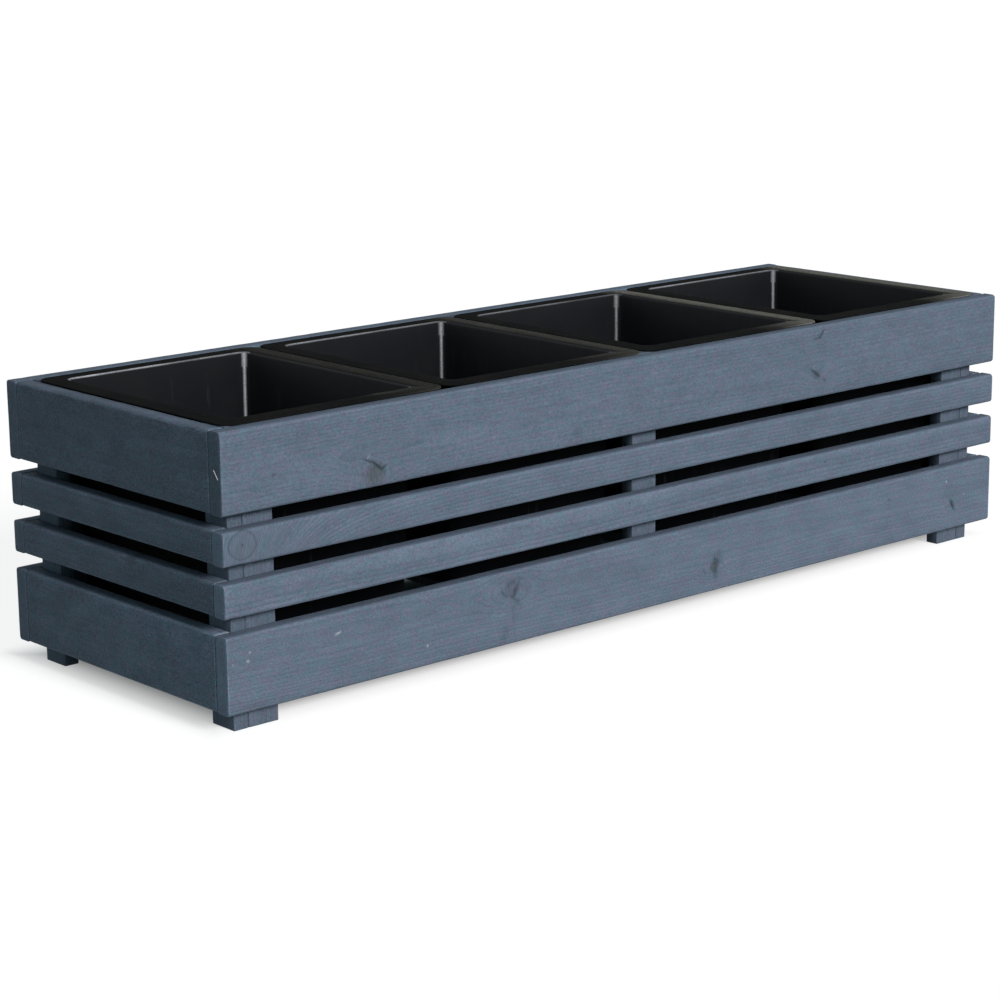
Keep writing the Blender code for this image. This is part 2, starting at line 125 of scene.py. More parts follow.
class Graph:
    """Adds nodes to one node tree and links them."""

    ROWS = 6
    COLUMN_STEP = 220
    ROW_STEP = 190

    def __init__(self, tree: bpy.types.NodeTree) -> None:
        """Start on a tree.

        Args:
            tree: the node tree that takes the nodes.
        """
        self.tree = tree
        self.count = 0

    def add(self, kind: str, **settings: object) -> bpy.types.Node:
        """Add a node.

        Args:
            kind: the node's type name in Blender.
            **settings: values of the node's own properties.

        Returns:
            The new node.
        """
        node = self.tree.nodes.new(kind)
        column, row = divmod(self.count, self.ROWS)
        node.location = (self.COLUMN_STEP * column, -self.ROW_STEP * row)
        self.count += 1
        for name, value in settings.items():
            setattr(node, name, value)
        return node

    def feed(self, socket: bpy.types.NodeSocket, value: Value) -> None:
        """Link a socket to another one, or set its value.

        Args:
            socket: the input socket.
            value: an output socket, or the value itself.
        """
        if isinstance(value, bpy.types.NodeSocket):
            self.tree.links.new(value, socket)
        else:
            socket.default_value = value

    def math(self, operation: str, *terms: Value) -> bpy.types.NodeSocket:
        """Do one operation on numbers.

        Args:
            operation: the Math node's operation.
            *terms: its terms.

        Returns:
            The result.
        """
        node = self.add("ShaderNodeMath", operation=operation)
        for socket, term in zip(node.inputs, terms):
            self.feed(socket, term)
        return node.outputs[0]

    def vector(self, operation: str, first: Value, second: Value) -> bpy.types.NodeSocket:
        """Do one operation on two vectors.

        Args:
            operation: the Vector Math node's operation.
            first: its first vector.
            second: its second vector.

        Returns:
            The resulting vector.
        """
        node = self.add("ShaderNodeVectorMath", operation=operation)
        self.feed(node.inputs[0], first)
        self.feed(node.inputs[1], second)
        return node.outputs[0]

    def scale(self, vector: Value, factor: Value) -> bpy.types.NodeSocket:
        """Return a vector or colour times a number."""
        node = self.add("ShaderNodeVectorMath", operation="SCALE")
        self.feed(node.inputs["Vector"], vector)
        self.feed(node.inputs["Scale"], factor)
        return node.outputs[0]

    def split(self, vector: Value) -> tuple[bpy.types.NodeSocket, ...]:
        """Return the three components of a vector."""
        node = self.add("ShaderNodeSeparateXYZ")
        self.feed(node.inputs[0], vector)
        return tuple(node.outputs)

    def join(self, x: Value, y: Value, z: Value) -> bpy.types.NodeSocket:
        """Return the vector of three components."""
        node = self.add("ShaderNodeCombineXYZ")
        for socket, value in zip(node.inputs, (x, y, z)):
            self.feed(socket, value)
        return node.outputs[0]

    def ramp(self, value: Value, start: Value, end: Value) -> bpy.types.NodeSocket:
        """Go smoothly from 0 to 1.

        Args:
            value: the number to follow.
            start: where the result is 0.
            end: where the result is 1; it may lie below start.

        Returns:
            The smooth step.
        """
        node = self.add("ShaderNodeMapRange", interpolation_type="SMOOTHSTEP")
        self.feed(node.inputs["Value"], value)
        self.feed(node.inputs["From Min"], start)
        self.feed(node.inputs["From Max"], end)
        return node.outputs["Result"]

    def noise(
        self, vector: Value, stretch: Sequence[float], detail: float = 2.0, roughness: float = 0.5
    ) -> bpy.types.Node:
        """Add a noise texture.

        Args:
            vector: the place, in metres.
            stretch: the noise's cells per metre in each direction.
            detail: its octaves.
            roughness: the weight of the finer octaves.

        Returns:
            The noise node.
        """
        node = self.add("ShaderNodeTexNoise")
        self.feed(node.inputs["Vector"], self.vector("MULTIPLY", vector, stretch))
        node.inputs["Scale"].default_value = 1.0
        node.inputs["Detail"].default_value = detail
        node.inputs["Roughness"].default_value = roughness
        return node

    def swing(self, value: Value, amount: Value) -> bpy.types.NodeSocket:
        """Return a factor about 1 from a value between 0 and 1.

        Args:
            value: the value, whose middle gives 1.
            amount: how far the factor goes from 1 at the ends.

        Returns:
            1 + amount * (2 * value - 1).
        """
        centred = self.math("MULTIPLY_ADD", value, 2.0, -1.0)
        return self.math("MULTIPLY_ADD", centred, amount, 1.0)

    def shade(self, mask: Value, amount: Value) -> bpy.types.NodeSocket:
        """Return the factor 1 - amount * mask."""
        return self.math("SUBTRACT", 1.0, self.math("MULTIPLY", mask, amount))

    def product(self, factors: Sequence[Value]) -> Value:
        """Return the product of some factors."""
        result = factors[0]
        for factor in factors[1:]:
            result = self.math("MULTIPLY", result, factor)
        return result

    def total(self, terms: Sequence[tuple[Value, float]]) -> Value:
        """Return the sum of values, each times its weight."""
        result: Value = 0.0
        for value, weight in terms:
            result = self.math("MULTIPLY_ADD", value, weight, result)
        return result

    def mix(self, factor: Value, first: Value, second: Value) -> bpy.types.NodeSocket:
        """Mix two colours.

        Args:
            factor: 0 for the first, 1 for the second.
            first: a colour.
            second: another one.

        Returns:
            The mixed colour.
        """
        node = self.add("ShaderNodeMix", data_type="RGBA")
        sockets = {socket.identifier: socket for socket in node.inputs}
        self.feed(sockets["Factor_Float"], factor)
        self.feed(sockets["A_Color"], first)
        self.feed(sockets["B_Color"], second)
        return next(socket for socket in node.outputs if socket.identifier == "Result_Color")

    def attribute(self, name: str) -> bpy.types.NodeSocket:
        """Return a vector that the mesh carries."""
        return self.add("ShaderNodeAttribute", attribute_name=name).outputs["Vector"]

    def amount(self, name: str) -> bpy.types.NodeSocket:
        """Return a number that the mesh carries."""
        return self.add("ShaderNodeAttribute", attribute_name=name).outputs["Fac"]

    def bump(self, height: Value, distance: float) -> bpy.types.NodeSocket:
        """Turn a height into a normal.

        Args:
            height: the height, 1 being the distance.
            distance: the depth of the relief in metres.

        Returns:
            The normal.
        """
        node = self.add("ShaderNodeBump")
        node.inputs["Distance"].default_value = distance
        self.feed(node.inputs["Height"], height)
        return node.outputs["Normal"]


def opaque(colour: Colour) -> tuple[float, float, float, float]:
    """Return a colour with full alpha."""
    return (*colour, 1.0)


def empty_graph(owner: bpy.types.Material | bpy.types.World) -> Graph:
    """Return the graph of a new material or world, with no node in it."""
    owner.use_nodes = True
    owner.node_tree.nodes.clear()
    return Graph(owner.node_tree)


def looked_at(graph: Graph) -> bpy.types.NodeSocket:
    """Return 1 for rays of the eye, of reflections and through glass, and 0 for those of light."""
    rays = graph.add("ShaderNodeLightPath").outputs
    seen = graph.math("MAXIMUM", rays["Is Camera Ray"], rays["Is Glossy Ray"])
    return graph.math("MAXIMUM", seen, rays["Is Transmission Ray"])


def new_material(name: str, specular: float, metallic: float = 0.0) -> tuple[Graph, bpy.types.Node]:
    """Make an empty material with its shader.

    Args:
        name: the material's name.
        specular: the shader's specular level.
        metallic: 1 for bare metal.

    Returns:
        The graph of its nodes, and the Principled shader.
    """
    graph = empty_graph(bpy.data.materials.new(name))
    shader = graph.add("ShaderNodeBsdfPrincipled")
    shader.inputs["Specular IOR Level"].default_value = specular
    shader.inputs["Metallic"].default_value = metallic
    output = graph.add("ShaderNodeOutputMaterial")
    graph.feed(output.inputs["Surface"], shader.outputs["BSDF"])
    return graph, shader


class Effect:
    """A shader node group that several materials share, built when it is first placed."""

    title = ""
    takes: Mapping[str, Socket] = {}
    gives: Mapping[str, Socket] = {}

    def wire(self, graph: Graph, given: Mapping[str, bpy.types.NodeSocket]) -> dict[str, Value]:
        """Build the inside of the group.

        Args:
            graph: the graph of the group's tree.
            given: its inputs by name.

        Returns:
            Its outputs by name.
        """
        raise NotImplementedError

    def tree(self) -> bpy.types.NodeTree:
        """Return the group's tree, made on the first call."""
        tree = bpy.data.node_groups.get(self.title)
        if tree is not None:
            return tree
        tree = bpy.data.node_groups.new(self.title, "ShaderNodeTree")
        for name, kind in self.takes.items():
            tree.interface.new_socket(name=name, in_out="INPUT", socket_type=kind.value)
        for name, kind in self.gives.items():
            tree.interface.new_socket(name=name, in_out="OUTPUT", socket_type=kind.value)
        graph = Graph(tree)
        entry = graph.add("NodeGroupInput")
        results = self.wire(graph, {name: entry.outputs[name] for name in self.takes})
        leave = graph.add("NodeGroupOutput")
        for name, value in results.items():
            graph.feed(leave.inputs[name], value)
        return tree

    def place(self, graph: Graph, **values: Value) -> dict[str, bpy.types.NodeSocket]:
        """Put the effect into a graph.

        Args:
            graph: the graph of a material, or of another group.
            **values: its inputs, with spaces in their names written as underscores.

        Returns:
            Its outputs by name.
        """
        node = graph.add("ShaderNodeGroup", node_tree=self.tree())
        for name, value in values.items():
            graph.feed(node.inputs[name.replace("_", " ")], value)
        return {name: node.outputs[name] for name in self.gives}


class KnotFlow(Effect):
    """Bends the growth lines of the wood round a knot."""

    title = "Grain flow round a knot"
    takes = {
        "Growth": Socket.VECTOR, "Grain": Socket.VECTOR, "Along": Socket.FLOAT,
        "Across": Socket.FLOAT, "Radius": Socket.FLOAT, "Pull": Socket.FLOAT,
    }
    gives = {"Growth": Socket.VECTOR}

    REACH_ALONG = 3.6
    REACH_ACROSS = 2.3
    RISE = 1.1

    def wire(self, graph: Graph, given: Mapping[str, bpy.types.NodeSocket]) -> dict[str, Value]:
        """Press the lines together beside the knot and lift them over it."""
        x, y, _ = graph.split(given["Grain"])
        u = graph.math("DIVIDE", graph.math("SUBTRACT", x, given["Along"]), given["Radius"])
        v = graph.math("DIVIDE", graph.math("SUBTRACT", y, given["Across"]), given["Radius"])
        along = graph.math("POWER", graph.math("DIVIDE", u, self.REACH_ALONG), 2.0)
        across = graph.math("POWER", graph.math("DIVIDE", v, self.REACH_ACROSS), 2.0)
        distance = graph.math("ADD", along, across)
        near = graph.math("EXPONENT", graph.math("MULTIPLY", distance, -1.0))
        force = graph.product([near, given["Radius"], given["Pull"]])
        shift = graph.math("MULTIPLY", graph.math("MULTIPLY", v, force), -1.0)
        lift = graph.math("MULTIPLY", force, self.RISE)
        return {"Growth": graph.vector("ADD", given["Growth"], graph.join(0.0, shift, lift))}


class KnotHeart(Effect):
    """The knot itself: its dark rim, its own rings, its pith and a soft shade round it."""

    title = "Heart of a knot"
    takes = {
        "Grain": Socket.VECTOR, "Along": Socket.FLOAT, "Across": Socket.FLOAT,
        "Radius": Socket.FLOAT, "Stretch": Socket.FLOAT, "Heart": Socket.FLOAT,
        "Rim": Socket.FLOAT, "Rings": Socket.FLOAT, "Halo": Socket.FLOAT, "Blur": Socket.FLOAT,
    }
    gives = {"Dark": Socket.FLOAT, "Body": Socket.FLOAT}

    RING_COUNT = 5.0
    WOBBLE = 0.30
    WOBBLE_CELLS = (90.0, 90.0, 90.0)
    RIM_AT = 0.97
    RIM_WIDTH = 0.05
    PITH_EDGE = (0.16, 0.06)
    HALO_REACH = 1.9
    DARKEST = 0.9

    def wire(self, graph: Graph, given: Mapping[str, bpy.types.NodeSocket]) -> dict[str, Value]:
        """Measure the distance from the knot's middle in radii and shade by it."""
        x, y, _ = graph.split(given["Grain"])
        width = graph.math("MULTIPLY", given["Radius"], given["Stretch"])
        u = graph.math("DIVIDE", graph.math("SUBTRACT", x, given["Along"]), width)
        v = graph.math("DIVIDE", graph.math("SUBTRACT", y, given["Across"]), given["Radius"])
        wobble = graph.noise(given["Grain"], self.WOBBLE_CELLS, 2.0).outputs["Fac"]
        square = graph.math("ADD", graph.math("POWER", u, 2.0), graph.math("POWER", v, 2.0))
        radii = graph.math("SUBTRACT", graph.math("SQRT", square), self.WOBBLE / 2)
        distance = graph.math("MULTIPLY_ADD", wobble, self.WOBBLE, radii)
        outer, inner = (graph.math(way, 1.0, given["Blur"]) for way in ("ADD", "SUBTRACT"))
        body = graph.ramp(distance, outer, inner)
        off_rim = graph.math("DIVIDE", graph.math("SUBTRACT", distance, self.RIM_AT), self.RIM_WIDTH)
        off_rim = graph.math("POWER", off_rim, 2.0)
        rim = graph.math("EXPONENT", graph.math("MULTIPLY", off_rim, -1.0))
        wave = graph.math("SINE", graph.math("MULTIPLY", distance, 2.0 * math.pi * self.RING_COUNT))
        rings = graph.math("MULTIPLY", graph.math("MULTIPLY_ADD", wave, 0.5, 0.5), body)
        pith = graph.ramp(distance, *self.PITH_EDGE)
        far = graph.math("POWER", graph.math("DIVIDE", distance, self.HALO_REACH), 2.0)
        halo = graph.math("EXPONENT", graph.math("MULTIPLY", far, -1.0))
        dark: Value = 0.0
        for mask, weight in ((body, "Heart"), (rim, "Rim"), (rings, "Rings"), (pith, "Rim"), (halo, "Halo")):
            dark = graph.math("MULTIPLY_ADD", mask, given[weight], dark)
        return {"Dark": graph.math("MINIMUM", dark, self.DARKEST), "Body": body}


class WoodMark(Effect):
    """A short stroke, dot or smudge on a board, with an uneven outline."""

    title = "Mark on the wood"
    takes = {
        "Grain": Socket.VECTOR, "Along": Socket.FLOAT, "Across": Socket.FLOAT, "Turn": Socket.FLOAT,
        "Half Length": Socket.FLOAT, "Half Width": Socket.FLOAT,
    }
    gives = {"Mark": Socket.FLOAT}

    WOBBLE = 2.4
    WOBBLE_CELLS = (240.0, 240.0, 240.0)

    def wire(self, graph: Graph, given: Mapping[str, bpy.types.NodeSocket]) -> dict[str, Value]:
        """Measure along and across the stroke, and fade out at its length and width."""
        x, y, _ = graph.split(given["Grain"])
        dx = graph.math("SUBTRACT", x, given["Along"])
        dy = graph.math("SUBTRACT", y, given["Across"])
        cos, sin = graph.math("COSINE", given["Turn"]), graph.math("SINE", given["Turn"])
        forth = graph.math("ADD", graph.math("MULTIPLY", dx, cos), graph.math("MULTIPLY", dy, sin))
        aside = graph.math("SUBTRACT", graph.math("MULTIPLY", dy, cos), graph.math("MULTIPLY", dx, sin))
        wobble = graph.noise(given["Grain"], self.WOBBLE_CELLS, 2.0, 0.6).outputs["Fac"]
        across = graph.math("DIVIDE", aside, given["Half Width"])
        across = graph.math("ADD", across, graph.math("MULTIPLY_ADD", wobble, self.WOBBLE, -self.WOBBLE / 2))
        lengthwise = graph.math("POWER", graph.math("DIVIDE", forth, given["Half Length"]), 4.0)
        away = graph.math("ADD", lengthwise, graph.math("POWER", across, 2.0))
        return {"Mark": graph.math("EXPONENT", graph.math("MULTIPLY", away, -1.0))}


class GrowthRings(Effect):
    """The tree's growth rings, cut by whatever surface shows them."""

    title = "Growth rings"
    takes = {"Growth": Socket.VECTOR, "Width": Socket.FLOAT, "Wander": Socket.FLOAT}
    gives = {"Late": Socket.FLOAT, "Band": Socket.FLOAT}

    DRIFT_CELLS = (2.6, 9.0, 9.0)
    UNEVENNESS = 0.5
    UNEVEN_CELLS = (14.0, 60.0, 60.0)
    LATE_RISE = (0.35, 0.90)
    LATE_FALL = (1.0, 0.93)

    def wire(self, graph: Graph, given: Mapping[str, bpy.types.NodeSocket]) -> dict[str, Value]:
        """Count the rings out from the pith, which wanders along the board."""
        _, y, z = graph.split(given["Growth"])
        drift = graph.noise(given["Growth"], self.DRIFT_CELLS, 3.0, 0.55)
        red, green, _ = graph.split(drift.outputs["Color"])
        y = graph.math("MULTIPLY_ADD", graph.math("SUBTRACT", red, 0.5), given["Wander"], y)
        z = graph.math("MULTIPLY_ADD", graph.math("SUBTRACT", green, 0.5), given["Wander"], z)
        square = graph.math("ADD", graph.math("POWER", y, 2.0), graph.math("POWER", z, 2.0))
        age = graph.math("DIVIDE", graph.math("SQRT", square), given["Width"])
        uneven = graph.noise(given["Growth"], self.UNEVEN_CELLS, 2.0).outputs["Fac"]
        age = graph.math("MULTIPLY_ADD", uneven, self.UNEVENNESS, age)
        part = graph.math("FRACT", age)
        late = graph.math("MULTIPLY", graph.ramp(part, *self.LATE_RISE), graph.ramp(part, *self.LATE_FALL))
        year = graph.add("ShaderNodeTexWhiteNoise", noise_dimensions="1D")
        graph.feed(year.inputs["W"], graph.math("FLOOR", age))
        return {"Late": late, "Band": year.outputs["Value"]}


class Fibres(Effect):
    """Long streaks and short pores that run with the grain."""

    title = "Wood fibres"
    takes = {"Growth": Socket.VECTOR}
    gives = {"Streak": Socket.FLOAT, "Pore": Socket.FLOAT}

    STREAK_CELLS = (7.0, 330.0, 330.0)
    PORE_CELLS = (55.0, 1500.0, 1500.0)
    PORE_EDGE = (0.56, 0.74)

    def wire(self, graph: Graph, given: Mapping[str, bpy.types.NodeSocket]) -> dict[str, Value]:
        """Stretch two noises along the grain."""
        streak = graph.noise(given["Growth"], self.STREAK_CELLS, 4.0, 0.62).outputs["Fac"]
        fine = graph.noise(given["Growth"], self.PORE_CELLS, 2.0, 0.6).outputs["Fac"]
        return {"Streak": streak, "Pore": graph.ramp(fine, *self.PORE_EDGE)}


class StainMottle(Effect):
    """Uneven stain: soft clouds that lie with the brush strokes, and a drift of its hue."""

    title = "Uneven stain"
    takes = {"Growth": Socket.VECTOR}
    gives = {"Tone": Socket.FLOAT, "Cloud": Socket.FLOAT, "Hue": Socket.FLOAT, "Grit": Socket.FLOAT}

    TONE_CELLS = (5.0, 24.0, 24.0)
    CLOUD_CELLS = (26.0, 44.0, 44.0)
    HUE_CELLS = (120.0, 190.0, 190.0)
    HUE_EDGE = (0.35, 0.65)
    GRIT_CELLS = (420.0, 560.0, 560.0)

    def wire(self, graph: Graph, given: Mapping[str, bpy.types.NodeSocket]) -> dict[str, Value]:
        """Lay clouds of four sizes."""
        broad = graph.noise(given["Growth"], self.TONE_CELLS, 3.0, 0.6).outputs["Fac"]
        cloud = graph.noise(given["Growth"], self.CLOUD_CELLS, 4.0, 0.62).outputs["Fac"]
        hue = graph.noise(given["Growth"], self.HUE_CELLS, 4.0, 0.75).outputs["Fac"]
        grit = graph.noise(given["Growth"], self.GRIT_CELLS, 2.0, 0.7).outputs["Fac"]
        return {"Tone": broad, "Cloud": cloud, "Hue": graph.ramp(hue, *self.HUE_EDGE), "Grit": grit}


class ArrisWear(Effect):
    """Masks of the worn long edges and of the sawn ends, from the distances to the faces."""

    title = "Worn edges and sawn ends"
    takes = {"Inset": Socket.VECTOR, "Growth": Socket.VECTOR, "Reach": Socket.FLOAT}
    gives = {"Worn": Socket.FLOAT, "Sawn": Socket.FLOAT}

    SAWN_DEPTH = 0.00045
    WORN_EDGE = (1.45, 0.75)
    RAGGED_CELLS = (60.0, 260.0, 260.0)

    def wire(self, graph: Graph, given: Mapping[str, bpy.types.NodeSocket]) -> dict[str, Value]:
        """Fade the wear out with the distance from the nearest edge."""
        end, edge, face = graph.split(given["Inset"])
        ragged = graph.noise(given["Growth"], self.RAGGED_CELLS, 3.0, 0.65).outputs["Fac"]
        arris = graph.math("MAXIMUM", edge, face)
        corner = graph.math("MAXIMUM", end, graph.math("MINIMUM", edge, face))
        nearest = graph.math("DIVIDE", graph.math("MINIMUM", arris, corner), given["Reach"])
        worn = graph.ramp(graph.math("ADD", nearest, ragged), *self.WORN_EDGE)
        sawn = graph.math("LESS_THAN", end, self.SAWN_DEPTH)
        return {"Worn": worn, "Sawn": sawn}


class EndGrain(Effect):
    """The rough face that a saw leaves: fine furrows and open pores."""

    title = "Sawn end grain"
    takes = {"Growth": Socket.VECTOR}
    gives = {"Furrow": Socket.FLOAT, "Open": Socket.FLOAT}

    FURROW_CELLS = (10.0, 55.0, 900.0)
    PORE_CELLS = (10.0, 1300.0, 1300.0)
    PORE_EDGE = (0.54, 0.72)

    def wire(self, graph: Graph, given: Mapping[str, bpy.types.NodeSocket]) -> dict[str, Value]:
        """Stretch one noise across the end and scatter another."""
        furrow = graph.noise(given["Growth"], self.FURROW_CELLS, 3.0, 0.6).outputs["Fac"]
        pores = graph.noise(given["Growth"], self.PORE_CELLS, 2.0, 0.6).outputs["Fac"]
        return {"Furrow": furrow, "Open": graph.ramp(pores, *self.PORE_EDGE)}


class Flecks(Effect):
    """Scattered small specks."""

    title = "Small specks"
    takes = {"Place": Socket.VECTOR, "Density": Socket.FLOAT, "Size": Socket.FLOAT, "Share": Socket.FLOAT}
    gives = {"Fleck": Socket.FLOAT}

    def wire(self, graph: Graph, given: Mapping[str, bpy.types.NodeSocket]) -> dict[str, Value]:
        """Keep the middles of a few of the cells of a cell texture."""
        cells = graph.add("ShaderNodeTexVoronoi")
        graph.feed(cells.inputs["Vector"], given["Place"])
        graph.feed(cells.inputs["Scale"], given["Density"])
        pick, _, _ = graph.split(cells.outputs["Color"])
        chosen = graph.math("LESS_THAN", pick, given["Share"])
        limit = graph.math("MULTIPLY", given["Size"], given["Density"])
        inside = graph.math("LESS_THAN", cells.outputs["Distance"], limit)
        return {"Fleck": graph.math("MULTIPLY", chosen, inside)}


class DustFilm(Effect):
    """A thin film of dust that gathers in clouds."""

    title = "Dust film"
    takes = {"Place": Socket.VECTOR, "Amount": Socket.FLOAT}
    gives = {"Dust": Socket.FLOAT}

    CLOUD_CELLS = (18.0, 18.0, 18.0)
    CLOUD_EDGE = (0.30, 0.75)
    GRAIN_CELLS = (700.0, 700.0, 700.0)
    GRAIN_SHARE = 0.5

    def wire(self, graph: Graph, given: Mapping[str, bpy.types.NodeSocket]) -> dict[str, Value]:
        """Mix broad clouds with fine grains."""
        clouds = graph.noise(given["Place"], self.CLOUD_CELLS, 4.0, 0.6).outputs["Fac"]
        grains = graph.noise(given["Place"], self.GRAIN_CELLS, 2.0, 0.7).outputs["Fac"]
        film = graph.math("MULTIPLY_ADD", grains, self.GRAIN_SHARE, graph.ramp(clouds, *self.CLOUD_EDGE))
        return {"Dust": graph.math("MINIMUM", graph.math("MULTIPLY", film, given["Amount"]), 1.0)}


class MouldedSkin(Effect):
    """The skin of moulded plastic: a fine grain, slow waves and a few upright scuffs."""

    title = "Moulded skin"
    takes = {"Place": Socket.VECTOR}
    gives = {"Grain": Socket.FLOAT, "Wave": Socket.FLOAT, "Scuff": Socket.FLOAT}

    GRAIN_CELLS = (900.0, 900.0, 900.0)
    WAVE_CELLS = (26.0, 26.0, 7.0)
    SCUFF_CELLS = (160.0, 160.0, 14.0)
    SCUFF_EDGE = (0.60, 0.78)

    def wire(self, graph: Graph, given: Mapping[str, bpy.types.NodeSocket]) -> dict[str, Value]:
        """Lay three noises of different stretch."""
        grain = graph.noise(given["Place"], self.GRAIN_CELLS, 2.0, 0.6).outputs["Fac"]
        wave = graph.noise(given["Place"], self.WAVE_CELLS, 2.0, 0.5).outputs["Fac"]
        scuff = graph.noise(given["Place"], self.SCUFF_CELLS, 3.0, 0.65).outputs["Fac"]
        return {"Grain": grain, "Wave": wave, "Scuff": graph.ramp(scuff, *self.SCUFF_EDGE)}


# Finishes


@dataclass(frozen=True)
class Knot:
    """A knot or mark in a board, placed from the board's left end and lower edge.

    The lengths are in metres; the strengths go from 0 to 1.
    """

    along: float
    height: float
    radius: float
    stretch: float = 1.0
    pull: float = 0.8
    heart: float = 0.10
    rim: float = 0.25
    rings: float = 0.06
    halo: float = 0.06
    blur: float = 0.10


class Skin(Enum):
    """The places of a liner that have a finish of their own, in the order of its materials."""

    WALL = 0
    RIM = 1
    OUTSIDE = 2


class MarkKind(Enum):
    """What a mark on the wood is."""

    BARK = "bark"
    PAINT = "paint"


@dataclass(frozen=True)
class Mark:
    """A short mark between two places on a board, in millimetres from its left end and lower edge."""

    start: tuple[float, float]
    end: tuple[float, float]
    width: float
    strength: float
    kind: MarkKind = MarkKind.BARK

    WIDTH_SHARE = 0.75

    def mask(self, graph: Graph, grain: Value) -> bpy.types.NodeSocket:
        """Return the mark's mask in a material's graph."""
        way = Vector(self.end) - Vector(self.start)
        middle = (Vector(self.end) + Vector(self.start)) / 2 * MM
        mark = WoodMark().place(
            graph, Grain=grain, Along=middle.x, Across=middle.y, Turn=math.atan2(way.y, way.x),
            Half_Length=(way.length + self.width) / 2 * MM, Half_Width=self.width * self.WIDTH_SHARE * MM,
        )["Mark"]
        return graph.math("MULTIPLY", mark, self.strength)


@dataclass(frozen=True)
class WoodFinish:
    """Stained softwood, whose grain shows faintly through the stain."""

    slot: Slot
    cool: Colour
    warm: Colour
    roughness: float = 0.72
    specular: float = 0.12
    ring_width: float = 0.0034
    wander: float = 0.011
    late_depth: float = 0.09
    band_depth: float = 0.04
    streak_depth: float = 0.06
    pore_depth: float = 0.05
    tone_depth: float = 0.15
    cloud_depth: float = 0.20
    grit_depth: float = 0.52
    wear_reach: float = 0.0042
    wear_gain: float = 0.10
    sawn_depth: float = 0.12
    relief: float = 0.0004
    knot_tint: Colour = (0.105, 0.118, 0.110)
    knot_browning: float = 3.0
    fleck_tint: Colour = (0.36, 0.42, 0.46)
    fleck_share: float = 0.012

    FLECK_DENSITY = 26.0
    FLECK_SIZE = 0.0011
    OPEN_GAIN = 2.5
    DENT_DEPTH = 1.6
    MIDDLE_ROUGH = 0.13

    def material(self, knots: tuple[Knot, ...] = (), marks: tuple[Mark, ...] = ()) -> bpy.types.Material:
        """Return the finish with some knots and marks in it, made on the first call.

        Args:
            knots: the knots of one board.
            marks: its small marks.

        Returns:
            The material.
        """
        name = f"{self.slot.value}_grain_{seed_of(repr((self, knots, marks))):08x}"
        made = bpy.data.materials.get(name)
        if made is not None:
            return made
        graph, shader = new_material(name, self.specular)
        grain = graph.attribute("grain")
        growth: Value = graph.attribute("growth")
        for knot in knots:
            growth = KnotFlow().place(
                graph, Growth=growth, Grain=grain, Along=knot.along, Across=knot.height,
                Radius=knot.radius, Pull=knot.pull,
            )["Growth"]
        rings = GrowthRings().place(graph, Growth=growth, Width=self.ring_width, Wander=self.wander)
        fibres = Fibres().place(graph, Growth=growth)
        stain = StainMottle().place(graph, Growth=growth)
        wear = ArrisWear().place(graph, Inset=graph.attribute("inset"), Growth=growth, Reach=self.wear_reach)
        sawn = EndGrain().place(graph, Growth=growth)
        fleck = Flecks().place(
            graph, Place=growth, Density=self.FLECK_DENSITY, Size=self.FLECK_SIZE, Share=self.fleck_share,
        )["Fleck"]
        furrow = graph.math("MULTIPLY", sawn["Furrow"], wear["Sawn"])
        opened = graph.math("MULTIPLY", sawn["Open"], wear["Sawn"])

        tones = [
            graph.shade(rings["Late"], self.late_depth),
            graph.swing(rings["Band"], self.band_depth),
            graph.swing(fibres["Streak"], self.streak_depth),
            graph.shade(fibres["Pore"], self.pore_depth),
            graph.swing(stain["Tone"], self.tone_depth),
            graph.swing(stain["Grit"], self.grit_depth),
            graph.shade(wear["Worn"], -self.wear_gain),
            graph.shade(opened, self.OPEN_GAIN * self.sawn_depth),
            graph.shade(furrow, self.sawn_depth),
            graph.swing(stain["Cloud"], self.cloud_depth),
            graph.amount("tone"),
        ]
        colour = graph.mix(stain["Hue"], opaque(self.cool), opaque(self.warm))
        for knot in knots:
            heart = KnotHeart().place(
                graph, Grain=grain, Along=knot.along, Across=knot.height, Radius=knot.radius,
                Stretch=knot.stretch, Heart=knot.heart, Rim=knot.rim, Rings=knot.rings, Halo=knot.halo,
                Blur=knot.blur,
            )
            tones.append(graph.shade(heart["Dark"], 1.0))
            browned = graph.math("MULTIPLY", heart["Body"], self.knot_browning * knot.heart)
            colour = graph.mix(browned, colour, opaque(self.knot_tint))
        dents: list[tuple[Value, float]] = []
        for mark in marks:
            mask = mark.mask(graph, grain)
            if mark.kind is MarkKind.BARK:
                tones.append(graph.shade(mask, 1.0))
                dents.append((mask, -self.DENT_DEPTH))
            else:
                colour = graph.mix(mask, colour, opaque(self.fleck_tint))
        colour = graph.mix(fleck, colour, opaque(self.fleck_tint))
        graph.feed(shader.inputs["Base Color"], graph.scale(colour, graph.product(tones)))

        rough = graph.total([(fibres["Streak"], 0.16), (stain["Tone"], 0.10), (rings["Late"], -0.06)])
        graph.feed(shader.inputs["Roughness"], graph.math("ADD", rough, self.roughness - self.MIDDLE_ROUGH))
        height = graph.total([
            (rings["Late"], 0.30), (fibres["Streak"], 0.55), (fibres["Pore"], -0.35),
            (stain["Grit"], 0.25), (furrow, 0.9), (opened, -0.5), *dents,
        ])
        graph.feed(shader.inputs["Normal"], graph.bump(height, self.relief))
        return bpy.data.materials[name]


